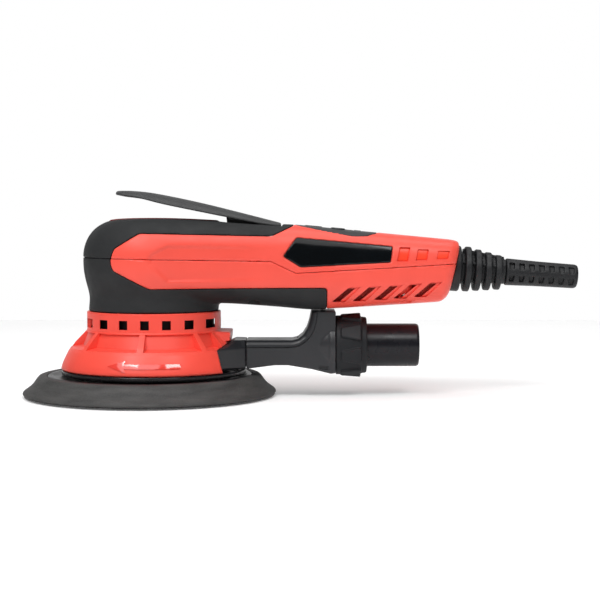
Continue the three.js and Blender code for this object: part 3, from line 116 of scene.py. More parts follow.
def noise(tree, place, scale, detail=3.0, stretch=None):
    if stretch:
        mapping = tree.nodes.new("ShaderNodeMapping")
        mapping.inputs["Scale"].default_value = stretch
        tree.links.new(place, mapping.inputs["Vector"])
        place = mapping.outputs["Vector"]
    texture = tree.nodes.new("ShaderNodeTexNoise")
    texture.inputs["Scale"].default_value = scale
    texture.inputs["Detail"].default_value = detail
    tree.links.new(place, texture.inputs["Vector"])
    return texture.outputs["Fac"]


def ranged(tree, value, low, high):
    node = tree.nodes.new("ShaderNodeMapRange")
    node.inputs["To Min"].default_value = low
    node.inputs["To Max"].default_value = high
    node.inputs["From Min"].default_value = 0.3
    node.inputs["From Max"].default_value = 0.7
    tree.links.new(value, node.inputs["Value"])
    return node.outputs["Result"]


def blended(tree, value, one, two):
    node = tree.nodes.new("ShaderNodeMix")
    node.data_type = "RGBA"
    tree.links.new(value, node.inputs["Factor"])
    node.inputs["A"].default_value = (*one, 1)
    node.inputs["B"].default_value = (*two, 1)
    return node.outputs["Result"]


def bumped(tree, shader, height, depth):
    bump = tree.nodes.new("ShaderNodeBump")
    bump.inputs["Distance"].default_value = depth
    bump.inputs["Strength"].default_value = 1.0
    tree.links.new(height, bump.inputs["Height"])
    tree.links.new(bump.outputs["Normal"], shader.inputs["Normal"])


def moulded(name, colour, shift, roughness, grain, depth, coat=0.0, metal=0.0, stretch=None, shine=0.5):
    """A moulded or turned finish: colour drifts by "shift", roughness by its range, over a fine grain."""
    material, tree, shader, place = tree_of(name)
    drift = noise(tree, place, 28, 4)
    light = tuple(min(1, c * (1 + shift)) for c in colour)
    dark = tuple(c * (1 - shift) for c in colour)
    colours = blended(tree, ranged(tree, drift, 0, 1), dark, light)
    tree.links.new(colours, shader.inputs["Base Color"])
    fine = noise(tree, place, grain, 2, stretch)
    tree.links.new(ranged(tree, noise(tree, place, 90, 3), *roughness), shader.inputs["Roughness"])
    shader.inputs["Metallic"].default_value = metal
    shader.inputs["Specular IOR Level"].default_value = shine
    shader.inputs["Coat Weight"].default_value = coat
    shader.inputs["Coat Roughness"].default_value = 0.08
    bumped(tree, shader, fine, depth)
    return material


def finish(obj, material):
    """Gives the whole object one material, in place of the empty slots that shaping leaves."""
    obj.data.materials.clear()
    obj.data.materials.append(material)
    return obj


TABLE_HALF = 0.68
TABLE_DROP = 0.0003  # metres below the pad's face, so that the two don't flicker
floor_bm = bmesh.new()
bmesh.ops.create_grid(floor_bm, x_segments=1, y_segments=1, size=TABLE_HALF)
bmesh.ops.translate(floor_bm, vec=(0, 0, -TABLE_DROP), verts=floor_bm.verts)
floor_mesh = bpy.data.meshes.new("table_top")
floor_bm.to_mesh(floor_mesh)
floor_bm.free()
table_top = bpy.data.objects.new("table_top", floor_mesh)
scene.collection.objects.link(table_top)
table_white = moulded("table_white", (0.93, 0.93, 0.93), 0.01, (0.55, 0.65), 300, 0.00001)
glow = table_white.node_tree.nodes["Principled BSDF"].inputs
glow["Emission Color"].default_value = (1, 1, 1, 1)
glow["Emission Strength"].default_value = 0.18
finish(table_top, table_white)

# ------------------------------------------------------------------ housing
# Two glass-filled nylon half shells hold the motor and the grip's electronics. They meet at a level
# seam that steps down behind the lever, and four screws from below draw them together.
WALL = 3.2
SEAM_GAP = 0.16
FORM_VOXEL = 1.0
CROWN = 104.8
HEAD_LINE = [
    (38.6, 44), (38.6, 50.6), (38.0, 58), (38.8, 62.8), (40.3, 68.5), (41.4, 75), (41.6, 82), (41.3, 86.5),
    (39.4, 92.4), (35.9, 97.6), (31, 101.4), (24.6, 103.8), (14, 104.6), (0, CROWN),
]
GRIP_REAR = 177.7
GRIP_TOP = [
    (0, CROWN), (20, 104.4), (41.7, 103.3), (75.7, 101.6), (84, 101.3), (108, 99), (132, 96.5), (155, 94.2),
    (GRIP_REAR, 91.9),
]
GRIP_FLOOR = [(0, 54.4), (39.3, 54.9), (72.6, 52.8), (93.6, 51), (104, 51.5), (140, 53.6), (GRIP_REAR, 55.8)]
GRIP_WIDTH = [
    (0, 41.0), (10, 40.0), (22, 37.0), (45, 31.2), (75, 26.8), (110, 26), (144, 25.2), (GRIP_REAR, 21),
]
REAR_LEAN = 0.22
GRIP_SQUARE = 3.3

tools = []


def piece(name, bm, scale=MM):
    """An object at the origin from a bmesh drawn in millimetres."""
    bmesh.ops.scale(bm, vec=(scale, scale, scale), verts=bm.verts)
    mesh = bpy.data.meshes.new(name)
    bm.to_mesh(mesh)
    bm.free()
    obj = bpy.data.objects.new(name, mesh)
    scene.collection.objects.link(obj)
    return obj


def tool(bm):
    """A cutter: it shapes other pieces, and is thrown away at the end."""
    obj = piece("tool", bm)
    tools.append(obj)
    return obj


def settled(obj):
    """Applies the modifiers."""
    bpy.context.view_layer.update()
    graph = bpy.context.evaluated_depsgraph_get()
    mesh = bpy.data.meshes.new_from_object(obj.evaluated_get(graph))
    old = obj.data
    obj.modifiers.clear()
    obj.data = mesh
    bpy.data.meshes.remove(old)
    return obj


def shaped(obj, *steps):
    """Takes each (operation, other object) in turn: DIFFERENCE, UNION or INTERSECT."""
    for operation, other in steps:
        modifier = obj.modifiers.new("shape", "BOOLEAN")
        modifier.operation = operation
        modifier.solver = "MANIFOLD"
        modifier.object = other
        settled(obj)
    return obj


def edged(obj, degrees):
    """Shades the piece smooth, but for the edges that turn further than this."""
    obj.data.shade_smooth()
    obj.data.set_sharp_from_angle(angle=radians(degrees))


def crisp(obj, *cutters):
    """Cuts sharp-edged openings into a piece that has been softened."""
    shaped(obj, *[("DIFFERENCE", cutter) for cutter in cutters])
    edged(obj, 38)


def copied(obj, name):
    twin = obj.copy()
    twin.data = obj.data.copy()
    twin.name = name
    scene.collection.objects.link(twin)
    return twin


def softened(obj, voxel, rounds):
    """Evens the mesh and rounds its edges, as a moulding's are."""
    modifier = obj.modifiers.new("even", "REMESH")
    modifier.mode = "VOXEL"
    modifier.voxel_size = voxel * MM
    if rounds:
        smooth = obj.modifiers.new("round", "SMOOTH")
        smooth.factor = 0.5
        smooth.iterations = rounds
    settled(obj)
    obj.data.shade_smooth()
    return obj


def points_of(obj):
    flat = np.empty(len(obj.data.vertices) * 3, np.float64)
    obj.data.vertices.foreach_get("co", flat)
    return flat.reshape(-1, 3) / MM


def set_points(obj, points):
    obj.data.vertices.foreach_set("co", (points * MM).ravel())
    obj.data.update()


def grown(obj, by):
    """Moves the surface out along its normals, or in where "by" is negative."""
    normals = np.empty(len(obj.data.vertices) * 3, np.float64)
    obj.data.vertices.foreach_get("normal", normals)
    set_points(obj, points_of(obj) + normals.reshape(-1, 3) * by)
    return obj


def spun(profile, steps=128, closed=False, angle=2 * pi):
    """Turns a profile of (radius, height) about the upright axis."""
    bm = bmesh.new()
    verts = [bm.verts.new((r, 0, z)) for r, z in profile]
    edges = [bm.edges.new(pair) for pair in zip(verts, verts[1:])]
    if closed:
        edges.append(bm.edges.new((verts[-1], verts[0])))
    full = angle >= 2 * pi
    bmesh.ops.spin(
        bm, geom=verts + edges, cent=(0, 0, 0), axis=(0, 0, 1), angle=angle, steps=steps, use_merge=full
    )
    bmesh.ops.remove_doubles(bm, verts=bm.verts, dist=1e-4)
    if not full:
        bmesh.ops.holes_fill(bm, edges=[e for e in bm.edges if e.is_boundary], sides=0)
    bmesh.ops.recalc_face_normals(bm, faces=bm.faces)
    return bm


def eased(points, parts=6):
    """A smooth line through the points, each span cut into "parts"."""
    line = [Vector(p) for p in points]
    line = [2 * line[0] - line[1], *line, 2 * line[-1] - line[-2]]
    out = []
    for a, b, c, d in zip(line, line[1:], line[2:], line[3:]):
        for i in range(parts):
            t = i / parts
            square, cube = 2 * a - 5 * b + 4 * c - d, 3 * b - a - 3 * c + d
            out.append(tuple(0.5 * (2 * b + (c - a) * t + square * t * t + cube * t**3)))
    out.append(tuple(points[-1]))
    return out


def reading(line, x):
    """The value at x on a smooth line through (x, value) points."""
    xs = [p[0] for p in line]
    if x <= xs[0]:
        return line[0][1]
    if x >= xs[-1]:
        return line[-1][1]
    i = max(k for k in range(len(xs) - 1) if xs[k] <= x)

    def slope(k):
        a, b = line[max(k - 1, 0)], line[min(k + 1, len(line) - 1)]
        return (b[1] - a[1]) / (b[0] - a[0])

    (x0, v0), (x1, v1) = line[i], line[i + 1]
    span = x1 - x0
    t = (x - x0) / span
    rise = v0 * (1 + 2 * t) * (1 - t) ** 2 + v1 * t * t * (3 - 2 * t)
    return rise + span * (slope(i) * t * (1 - t) ** 2 - slope(i + 1) * t * t * (1 - t))


def rounded_ring(x, half, low, high, square=GRIP_SQUARE, count=72, lean=0.0):
    """A rounded rectangle across the tool; "square" runs from 2, an ellipse, towards a box."""
    middle, rise = (low + high) / 2, (high - low) / 2
    ring = []
    for i in range(count):
        angle = 2 * pi * (i + 0.5) / count
        across = half * np.sign(cos(angle)) * abs(cos(angle)) ** (2 / square)
        up = rise * np.sign(sin(angle)) * abs(sin(angle)) ** (2 / square)
        ring.append((x + lean * up, across, middle + up))
    return ring


def lofted(rings):
    """A closed skin bridged from ring to ring."""
    bm = bmesh.new()
    loops = []
    for ring in rings:
        verts = [bm.verts.new(p) for p in ring]
        loops.append([bm.edges.new(pair) for pair in zip(verts, verts[1:] + verts[:1])])
    for one, two in zip(loops, loops[1:]):
        bmesh.ops.bridge_loops(bm, edges=one + two)
    for end in (loops[0], loops[-1]):
        bmesh.ops.contextual_create(bm, geom=end)
    bmesh.ops.recalc_face_normals(bm, faces=bm.faces)
    return bm


def outset(outline, by):
    """An outline with each side moved out by the same amount."""
    points = [Vector(p) for p in outline]
    area = sum(a.x * b.y - b.x * a.y for a, b in zip(points, points[1:] + points[:1]))
    turn = 1 if area > 0 else -1
    out = []
    for before, here, after in zip(points[-1:] + points[:-1], points, points[1:] + points[:1]):
        one, two = (here - before).normalized(), (after - here).normalized()
        n1, n2 = Vector((one.y, -one.x)) * turn, Vector((two.y, -two.x)) * turn
        mitre = n1 + n2
        out.append(tuple(here + mitre * by / max(mitre.dot(n1), 0.4)))
    return out


def rounded(bm, edges, by, segments):
    bmesh.ops.bevel(
        bm, geom=edges, affect="EDGES", offset=by, segments=segments, profile=0.5, material=-1, clamp_overlap=True
    )


def prism(outline, low, high, plane="XZ", corner=0.0):
    """An outline carried straight from low to high: across the tool for XZ, along it for YZ, upright for XY."""
    bm = bmesh.new()
    if plane == "XZ":
        start = [(u, low, v) for u, v in outline]
        run = (0, high - low, 0)
    elif plane == "XY":
        start = [(u, v, low) for u, v in outline]
        run = (0, 0, high - low)
    else:
        start = [(low, u, v) for u, v in outline]
        run = (high - low, 0, 0)
    face = bm.faces.new([bm.verts.new(p) for p in start])
    if corner:
        bmesh.ops.bevel(
            bm, geom=face.verts[:], affect="VERTICES", offset=corner, segments=5, profile=0.5, material=-1,
            clamp_overlap=True,
        )
    result = bmesh.ops.extrude_face_region(bm, geom=bm.faces[:])
    moved = [g for g in result["geom"] if isinstance(g, bmesh.types.BMVert)]
    bmesh.ops.translate(bm, vec=run, verts=moved)
    bmesh.ops.recalc_face_normals(bm, faces=bm.faces)
    return bm


def joined(*bms):
    """Several closed shapes in one bmesh; they mustn't touch."""
    whole = bmesh.new()
    for bm in bms:
        mesh = bpy.data.meshes.new("part")
        bm.to_mesh(mesh)
        bm.free()
        whole.from_mesh(mesh)
        bpy.data.meshes.remove(mesh)
    return whole


def housing_form(name, inset):
    """The housing's whole outside, or the same drawn in by "inset" all over."""
    line = eased(HEAD_LINE[1:], 5)
    profile = [(0, 40)] + [(max(r - inset, 0), 40 if k == 0 else z) for k, (r, z) in enumerate(line)]
    drawn = []
    for r, z in profile:
        drop = inset * max(0.0, min(1.0, (z - 88) / 14))
        drawn.append((r, z - drop))
    form = piece(name, spun(drawn, 144))
    rings = []
    stations = [i * 3.0 for i in range(int((GRIP_REAR - 6) / 3) + 1)] + [GRIP_REAR - 4.6]
    for x in stations:
        lean = REAR_LEAN * max(0.0, (x - 110) / (GRIP_REAR - 110))
        rings.append(
            rounded_ring(
                x - (inset if x == stations[-1] else 0), reading(GRIP_WIDTH, x) - inset,
                reading(GRIP_FLOOR, x) + inset, reading(GRIP_TOP, x) - inset, lean=lean,
            )
        )
    for back, draw in ((2.6, 0.7), (1.2, 1.8), (0.35, 3.2), (0, 4.8)):
        rings.append(
            rounded_ring(
                GRIP_REAR - back - inset, GRIP_WIDTH[-1][1] - inset - draw,
                GRIP_FLOOR[-1][1] + inset + draw * 1.1, GRIP_TOP[-1][1] - inset - draw * 0.15, lean=REAR_LEAN,
            )
        )
    grip = tool(lofted(rings))
    return shaped(form, ("UNION", grip))


outer = housing_form("outer", 0)
tools.append(outer)
softened(outer, FORM_VOXEL, 11)
inner = housing_form("inner", WALL)
tools.append(inner)

# The sides carry a shallow facet panel that runs back from the head and fades out along the grip.
PANEL_OUTLINE = [(1.0, 79.2), (1.8, 84.4), (11.5, 89.2), (90, 88), (90, 69), (11.5, 68.2)]
form_points = points_of(outer)
plan = form_points[:, [0, 2]]
reach = np.full(len(plan), 1e9)
corners = [np.array(p) for p in PANEL_OUTLINE]
for a, b in zip(corners, corners[1:] + corners[:1]):
    side = b - a
    normal = np.array([side[1], -side[0]]) / np.hypot(*side)
    reach = np.minimum(reach, (plan - a) @ normal)
PANEL_DEPTH, PANEL_RAMP = 1.2, 1.5
share = np.clip(reach / PANEL_RAMP, 0, 1)
fade = 1 - np.clip((plan[:, 0] - 25) / 50, 0, 1)
push = PANEL_DEPTH * share**2 * (3 - 2 * share) * fade
form_points[:, 1] -= np.sign(form_points[:, 1]) * push * (np.abs(form_points[:, 1]) > 15)
set_points(outer, form_points)

trim = tool(prism([(-60, 30), (60, 30), (60, 50.6), (-60, 50.6)], -60, 60))
SEAM = [(-60, 82.2), (-42, 82), (70.2, 79.8), (84.6, 73), (177.5, 78.3), (230, 80)]
above = tool(prism([(x, z + SEAM_GAP / 2) for x, z in SEAM] + [(230, 150), (-60, 150)], -70, 70))
below = tool(prism([(x, z - SEAM_GAP / 2) for x, z in SEAM] + [(230, 20), (-60, 20)], -70, 70))

# The red of the shells shows on the sides and all over the rear; the soft grip takes the rest.
RED_SIDE = [
    (-21.3, 80.3), (-19.7, 74.8), (1, 64.4), (102.6, 64.6), (102.6, 40), (230, 40), (230, 120), (90, 120),
    (83.6, 100.7), (70.4, 94.2), (-4.4, 95.8), (-18.9, 87),
]
red_prism = tool(prism(RED_SIDE, -70, 70, corner=1.6))
black_prism = tool(prism(outset(RED_SIDE, SEAM_GAP), -70, 70, corner=1.6))
STRIP = [(44.5, -9.5), (-18, -9.5), (-23, -7.5), (-26, -3.5), (-26, 3.5), (-23, 7.5), (-18, 9.5), (44.5, 9.5)]
strip_prism = tool(prism(STRIP, 92, 130, "XY"))
strip_clear = tool(prism(outset(STRIP, SEAM_GAP), 92, 130, "XY"))


def place_of(node):
    """A node's lowest, highest and middle points, in millimetres."""
    low, high = (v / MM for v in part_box(node))
    return low, high, (low + high) / 2


# Openings in the crown: the well for the lever's hub, the seat that its rear end and its sides sink
# into when it is pressed, and the control panel's bed.
pin = place_of("lever_pin")[2]
lever_rear = place_of("lever")[1].x
well_front, well_back = pin.x - 22.4, pin.x + 6.2
well_line = [
    (well_front, pin.z - 20), (well_back, pin.z - 20), (well_back, pin.z + 20), (well_front, pin.z + 20),
]
well = tool(prism(well_line, -9.7, 9.7))
seat_line = [
    (pin.x - 26, 103.2), (pin.x - 1, 100.4), (pin.x - 1, pin.z + 0.7), (lever_rear + 0.6, pin.z + 0.7),
    (lever_rear + 0.6, 120), (pin.x - 26, 120),
]
seat = tool(prism(seat_line, -14.6, 14.6))
PANEL_PLAN = [
    (83.9, 0), (84.6, 7), (88.5, 12.2), (99, 16.4), (110, 18.4), (119, 19.4), (126, 17.8), (130.4, 13.2),
    (132.2, 6),
]
panel_plan = PANEL_PLAN + [(x, -y) for x, y in PANEL_PLAN[:0:-1]]
panel_prism = tool(prism(panel_plan, 80, 130, "XY", corner=1.0))
panel_clear = tool(prism(outset(panel_plan, 0.3), 80, 130, "XY", corner=1.0))


def under_skin(depth):
    """A solid that fills the housing up to "depth" under its surface."""
    core = grown(copied(outer, "core"), -depth)
    tools.append(core)
    return core


def pocket(depth, outline):
    """A cutter that takes the housing away to one depth inside a prism."""
    cutter = shaped(copied(outline, "pocket"), ("DIFFERENCE", under_skin(depth)))
    tools.append(cutter)
    return cutter


# Name plates let into both sides, three stepped windows behind each, and slanted cooling slots low down.
NAME_PLATE = [(77.1, 82.8), (84.9, 93.6), (140.5, 88.5), (139.2, 79.4), (87.2, 76.6)]
plate_prism = tool(prism(NAME_PLATE, -70, 70, corner=0.8))
plate_clear = tool(prism(outset(NAME_PLATE, 0.25), -70, 70, corner=0.8))
WINDOWS = [
    ([(142.6, 79.8), (149.4, 79.8), (150.9, 88.0), (144.4, 88.2)], 1.4),
    ([(153.6, 80.4), (160.6, 80.6), (161.6, 86.8), (155.0, 86.9)], 1.1),
    ([(165.6, 80.9), (172.9, 81.1), (173.9, 85.9), (166.9, 86.0)], 0.8),
]
SLOT_PLACES = [(112.2, 60.4), (124.2, 60.9), (136.5, 61.6), (147.9, 62.4), (159.7, 63.2)]
SLOT_HALF_H = 3.9
SLOT_LEAN = 4.5
SLOT_HALF_W = 2.2


def slot_outline(x, z, spread):
    lean, tall, wide = SLOT_LEAN, SLOT_HALF_H + spread * 0.5, SLOT_HALF_W + spread
    return [(x - lean - wide, z - tall), (x - lean + wide, z - tall), (x + lean + wide, z + tall),
            (x + lean - wide, z + tall)]


slots = tool(joined(*[prism(slot_outline(x, z, 0), -70, 70) for x, z in SLOT_PLACES]))
slot_rims = tool(joined(*[prism(slot_outline(x + 1.9, z + 0.3, 1.1), -70, 70) for x, z in SLOT_PLACES]))
BOOT_AT = Vector((178.0, 0, 75.4))
BOOT_DROOP = radians(3.94)
boot_turn = Matrix.Translation(BOOT_AT) @ Matrix.Rotation(pi / 2 + BOOT_DROOP, 4, "Y")


def on_boot(bm):
    bmesh.ops.transform(bm, matrix=boot_turn, verts=bm.verts)
    return bm


boot_hole = tool(on_boot(spun([(0, -16), (9.4, -16), (9.4, 12), (0, 12)], 48)))

shell = shaped(copied(outer, "shell"), ("DIFFERENCE", trim), ("DIFFERENCE", inner))
tools.append(shell)
rim_pocket = pocket(0.9, slot_rims)
window_pockets = [pocket(depth, tool(prism(outline, -70, 70, corner=0.5))) for outline, depth in WINDOWS]
plate_pocket = pocket(1.35, plate_clear)
panel_pocket = pocket(1.5, panel_clear)

raised = grown(copied(outer, "raised"), 0.45)
tools.append(raised)
strip_body = shaped(
    copied(strip_prism, "crown_strip"), ("INTERSECT", raised), ("DIFFERENCE", under_skin(2.6)),
    ("DIFFERENCE", well), ("DIFFERENCE", seat),
)

upper_red = shaped(
    copied(shell, "upper_shell"), ("INTERSECT", above), ("INTERSECT", red_prism),
    ("DIFFERENCE", seat), ("DIFFERENCE", panel_pocket), ("DIFFERENCE", plate_pocket), ("DIFFERENCE", boot_hole),
)
upper_black = shaped(
    copied(shell, "upper_grip_cover"), ("INTERSECT", above), ("DIFFERENCE", black_prism),
    ("DIFFERENCE", strip_clear), ("DIFFERENCE", well), ("DIFFERENCE", seat),
)
lower_red = shaped(
    copied(shell, "lower_shell"), ("INTERSECT", below), ("INTERSECT", red_prism), ("DIFFERENCE", boot_hole),
)
lower_black = shaped(copied(shell, "lower_grip_cover"), ("INTERSECT", below), ("DIFFERENCE", black_prism))

SHELL_SCREWS = [
    "shell_screw_front_near", "shell_screw_front_far", "shell_screw_rear_near", "shell_screw_rear_far",
]
sinks = []
for name in SHELL_SCREWS:
    low, _, middle = place_of(name)
    sink = spun([(0, 30), (3.4, 30), (3.4, low.z + 2.1), (1.8, low.z + 2.1), (1.8, 74), (0, 74)], 40)
    bmesh.ops.translate(sink, vec=(middle.x, middle.y, 0), verts=sink.verts)
    sinks.append(sink)
sink_tool = tool(joined(*sinks))
for cover in (lower_red, lower_black):
    shaped(cover, ("DIFFERENCE", sink_tool))

SHELL_VOXEL = 0.62
for cover in (upper_red, upper_black, lower_red, lower_black):
    softened(cover, SHELL_VOXEL, 3)
softened(strip_body, 0.5, 2)
crisp(lower_red, rim_pocket, slots)
crisp(upper_red, *window_pockets)

red_plastic = moulded("red_moulding", (0.87, 0.088, 0.06), 0.04, (0.36, 0.48), 2600, 0.00002, shine=0.4)
soft_touch = moulded("soft_touch_rubber", (0.018, 0.019, 0.020), 0.12, (0.6, 0.78), 1900, 0.00005, shine=0.28)
# Painted shade: the crown strip's dark red stands for the lever's shadow falling on it, so the strip reads darker
# than the shell around it.
finish(strip_body, moulded("crown_strip_painted_shade", (0.2, 0.012, 0.01), 0.08, (0.3, 0.42), 2000, 0.00002, shine=0.3))
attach(strip_body, "housing")
for cover, colour, node, record_slot in (
    (upper_red, red_plastic, "upper_housing", "red_shell"),
    (lower_red, red_plastic, "lower_housing", "red_shell"),
    (upper_black, soft_touch, "upper_grip", "soft_grip"),
    (lower_black, soft_touch, "lower_grip", "soft_grip"),
):
    finish(cover, colour)
    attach(cover, "housing")
    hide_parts(node)

# A red inner wall and the rear screw bosses close the view through the cooling slots.
LINER_LINE = [(100, 48), (172, 48), (172, 74), (100, 74)]
liner = piece("slot_liner", joined(prism(LINER_LINE, -14, -13), prism(LINER_LINE, 13, 14)))
bosses = []
for name in SHELL_SCREWS[2:]:
    middle = place_of(name)[2]
    boss = spun([(0, 45), (5.0, 45), (5.0, 77.4), (0, 77.4)], 32)
    bmesh.ops.translate(boss, vec=(middle.x, middle.y, 0), verts=boss.verts)
    bosses.append(boss)
shaped(liner, ("UNION", tool(joined(*bosses))), ("INTERSECT", inner), ("DIFFERENCE", sink_tool))
finish(liner, red_plastic)
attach(liner, "housing")

window_red = moulded("window_red_polished", (0.9, 0.056, 0.02), 0.04, (0.3, 0.42), 400, 0.000004, shine=0.35)
for number, (outline, depth) in enumerate(WINDOWS, 1):
    floor = copied(tool(prism(outset(outline, -0.3), -70, 70, corner=0.4)), f"window_floor_{number}")
    shaped(floor, ("INTERSECT", under_skin(depth - 0.25)), ("DIFFERENCE", under_skin(depth + 0.5)))
    finish(softened(floor, 0.32, 2), window_red)
    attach(floor, "housing")

# ------------------------------------------------------------------ name plates
# Thin gloss black inlays, snapped into seats in both sides and left plain.
gloss_black = moulded("gloss_black_inlay", (0.001, 0.002, 0.003), 0.3, (0.1, 0.18), 500, 0.000004, shine=0.3)
plate_body = shaped(copied(plate_prism, "plate_body"), ("INTERSECT", outer), ("DIFFERENCE", under_skin(1.2)))
tools.append(plate_body)
for side, node in ((-1, "name_plate_near"), (1, "name_plate_far")):
    half = tool(prism([(0, side * 1.0), (300, side * 1.0), (300, side * 70.0), (0, side * 70.0)], 0, 200, "XY"))
    inlay = softened(shaped(copied(plate_body, node + "_inlay"), ("INTERSECT", half)), 0.42, 2)
    finish(inlay, gloss_black)
    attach(inlay, "housing")
    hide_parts(node)

# ------------------------------------------------------------------ control panel and buttons
# A charcoal cover let into the top of the grip, with a round power button, two speed buttons and a
# pale lens over the status lamps. The buttons are separate caps that press straight in.
PANEL_AT = Vector((107.9, 0, 99.1))
PANEL_TURN = Matrix.Translation(PANEL_AT) @ Matrix.Rotation(radians(5.2), 4, "Y")
BUTTONS = {  # each one's place on the panel and its radius
    "power_button": (-13, 0, 5.4), "speed_down_button": (1.5, -7.5, 4.2), "speed_up_button": (1.5, 7.5, 4.2),
}


def on_panel(bm, x=0.0, y=0.0):
    bmesh.ops.transform(bm, matrix=PANEL_TURN @ Matrix.Translation((x, y, 0)), verts=bm.verts)
    return bm


def eased_edges(obj, width, segments):
    edge = obj.modifiers.new("edge", "BEVEL")
    edge.width = width * MM
    edge.segments = segments
    edge.limit_method = "ANGLE"
    settled(obj)


BUTTON_RUN = 0.35  # clearance all round
holes = []
for x, y, r in BUTTONS.values():
    holes.append(on_panel(spun([(0, -9), (r + BUTTON_RUN, -9), (r + BUTTON_RUN, 9), (0, 9)], 48), x, y))
holes.append(on_panel(prism([(10.7, -8.3), (15.3, -8.3), (15.3, 8.3), (10.7, 8.3)], -5, 6, "XY", corner=1.5)))
panel_holes = tool(joined(*holes))
panel = shaped(
    copied(panel_prism, "panel_cover"), ("INTERSECT", outer), ("DIFFERENCE", under_skin(1.25)),
    ("DIFFERENCE", panel_holes),
)
softened(panel, 0.4, 2)
finish(panel, moulded("panel_charcoal", (0.036, 0.038, 0.04), 0.1, (0.42, 0.56), 2200, 0.00002, shine=0.35))
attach(panel, "housing")
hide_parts("control_panel")
shaped(upper_red, ("DIFFERENCE", panel_holes))

button_black = moulded("button_black", (0.024, 0.025, 0.027), 0.1, (0.34, 0.46), 2400, 0.00001, shine=0.4)
mark_grey = moulded("button_mark", (0.5, 0.52, 0.53), 0.05, (0.4, 0.5), 900, 0.00001)
top = 0.35  # how far the caps stand proud of the panel
for name, (x, y, r) in BUTTONS.items():
    cap = [
        (0, top - 0.35), (r * 0.45, top - 0.3), (r * 0.72, top - 0.05), (r * 0.84, top), (r * 0.94, top - 0.1),
        (r, top - 0.55), (r, -5.5), (r + 0.7, -5.6), (r + 0.7, -6.5), (0, -6.5),
    ]
    button = piece(name + "_cap", on_panel(spun(cap, 64), x, y))
    finish(button, button_black)
    button.data.shade_smooth()
    eased_edges(button, 0.12, 2)
    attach(button, name)
    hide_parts(name)
    if name == "power_button":
        ring = spun([(1.5, top - 0.4), (1.5, top - 0.18), (1.9, top - 0.18), (1.9, top - 0.4)], 40, closed=True)
        mark_bm = joined(ring)
    else:
        bars = [[(-1.3, -0.25), (1.3, -0.25), (1.3, 0.25), (-1.3, 0.25)]]
        if name == "speed_up_button":
            bars.append([(-0.25, 0.3), (0.25, 0.3), (0.25, 1.3), (-0.25, 1.3)])
            bars.append([(-0.25, -1.3), (0.25, -1.3), (0.25, -0.3), (-0.25, -0.3)])
        mark_bm = joined(*[prism(bar, top - 0.5, top - 0.16, "XY") for bar in bars])
    mark = piece(name + "_mark", on_panel(mark_bm, x, y))
    finish(mark, mark_grey)
    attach(mark, name)

lens = piece("lamp_lens", on_panel(prism([(11, -8), (15, -8), (15, 8), (11, 8)], -3.9, 0.0, "XY", corner=1.3)))
eased_edges(lens, 0.3, 3)
finish(lens, moulded("lens_smoke", (0.10, 0.13, 0.12), 0.1, (0.1, 0.2), 300, 0.000005, coat=0.5))
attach(lens, "housing")
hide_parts("status_lens")

# ------------------------------------------------------------------ lever
# A charcoal glass-nylon paddle that the palm presses. It is crowned across, thins to its tip, and
# hangs by a hub on a steel pin in the well behind the head, over a coil that pushes it back up.
LEVER_TOP = [
    (-21.6, 121.1), (-19, 121.3), (-10, 121.1), (2.4, 119.6), (28.6, 114.2), (54.8, 107.7), (75.7, 102.3),
]
LEVER_DEPTH = [(-21.6, 3.0), (-17, 4.2), (-8, 5.2), (5, 6.9), (28.6, 6.9), (50, 5.8), (66, 4.8), (75.7, 3.2)]
LEVER_HALF = [
    (-21.6, 7.5), (-20, 11), (-16, 14), (-8, 16), (5, 16.4), (30, 15.4), (55, 13), (72, 11.4), (75.7, 10.4),
]
lever_rings = []
for x in [-21.6, -21.3, -20.6, -19.5, -18, -16] + [-13 + 4 * i for i in range(22)] + [73, 74.6, 75.4, 75.7]:
    half, depth = reading(LEVER_HALF, x), reading(LEVER_DEPTH, x)
    thick = min(3.0, depth * 0.75)
    droop = depth - thick
    ring = []
    for i in range(48):
        angle = 2 * pi * (i + 0.5) / 48
        across = half * np.sign(cos(angle)) * abs(cos(angle)) ** 0.55
        crown = droop * abs(across / half) ** 2.4
        under = thick / 2 * (1 - np.sign(sin(angle)) * abs(sin(angle)) ** 0.7)
        ring.append((x, across, reading(LEVER_TOP, x) - crown - under))
    lever_rings.append(ring)
lever = piece("lever_paddle", lofted(lever_rings))
hub_front, hub_back = pin.x - 21.0, pin.x + 4.4
hub_line = [
    (pin.x - 17.6, pin.z - 4.4), (hub_back, pin.z - 4.4), (hub_back, reading(LEVER_TOP, hub_back) - 1.4),
    (hub_front, reading(LEVER_TOP, hub_front) - 1.4), (pin.x - 19.6, pin.z - 1.4),
]
hub = tool(prism(hub_line, -8.5, 8.5, corner=0.9))
spring_low, _, spring_at = place_of("lever_spring")
BORE_R = 1.95
bore = prism([(pin.x + BORE_R * cos(a * pi / 12), pin.z + BORE_R * sin(a * pi / 12)) for a in range(24)], -20, 20)
cup = spun([(0, 80), (3.5, 80), (3.5, pin.z - 3.2), (0, pin.z - 3.2)], 32)
bmesh.ops.translate(cup, vec=(spring_at.x, 0, 0), verts=cup.verts)
softened(lever, 0.55, 2)
shaped(lever, ("UNION", hub), ("DIFFERENCE", tool(bore)), ("DIFFERENCE", tool(cup)))
softened(lever, 0.5, 4)
finish(lever, moulded("lever_charcoal", (0.048, 0.049, 0.05), 0.12, (0.44, 0.6), 2000, 0.00003, shine=0.3))
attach(lever, "lever")
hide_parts("lever")

coil_bm = bmesh.new()
coil_bm.from_mesh(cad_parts["lever_spring"].data)
bmesh.ops.remove_doubles(coil_bm, verts=coil_bm.verts, dist=1e-7)
coil = piece("lever_return_coil", coil_bm, 1)
finish(coil, moulded("spring_steel", (0.5, 0.51, 0.53), 0.06, (0.26, 0.4), 240, 0.00001, metal=1.0))
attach(coil, "housing")
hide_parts("lever_spring")
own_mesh(coil)

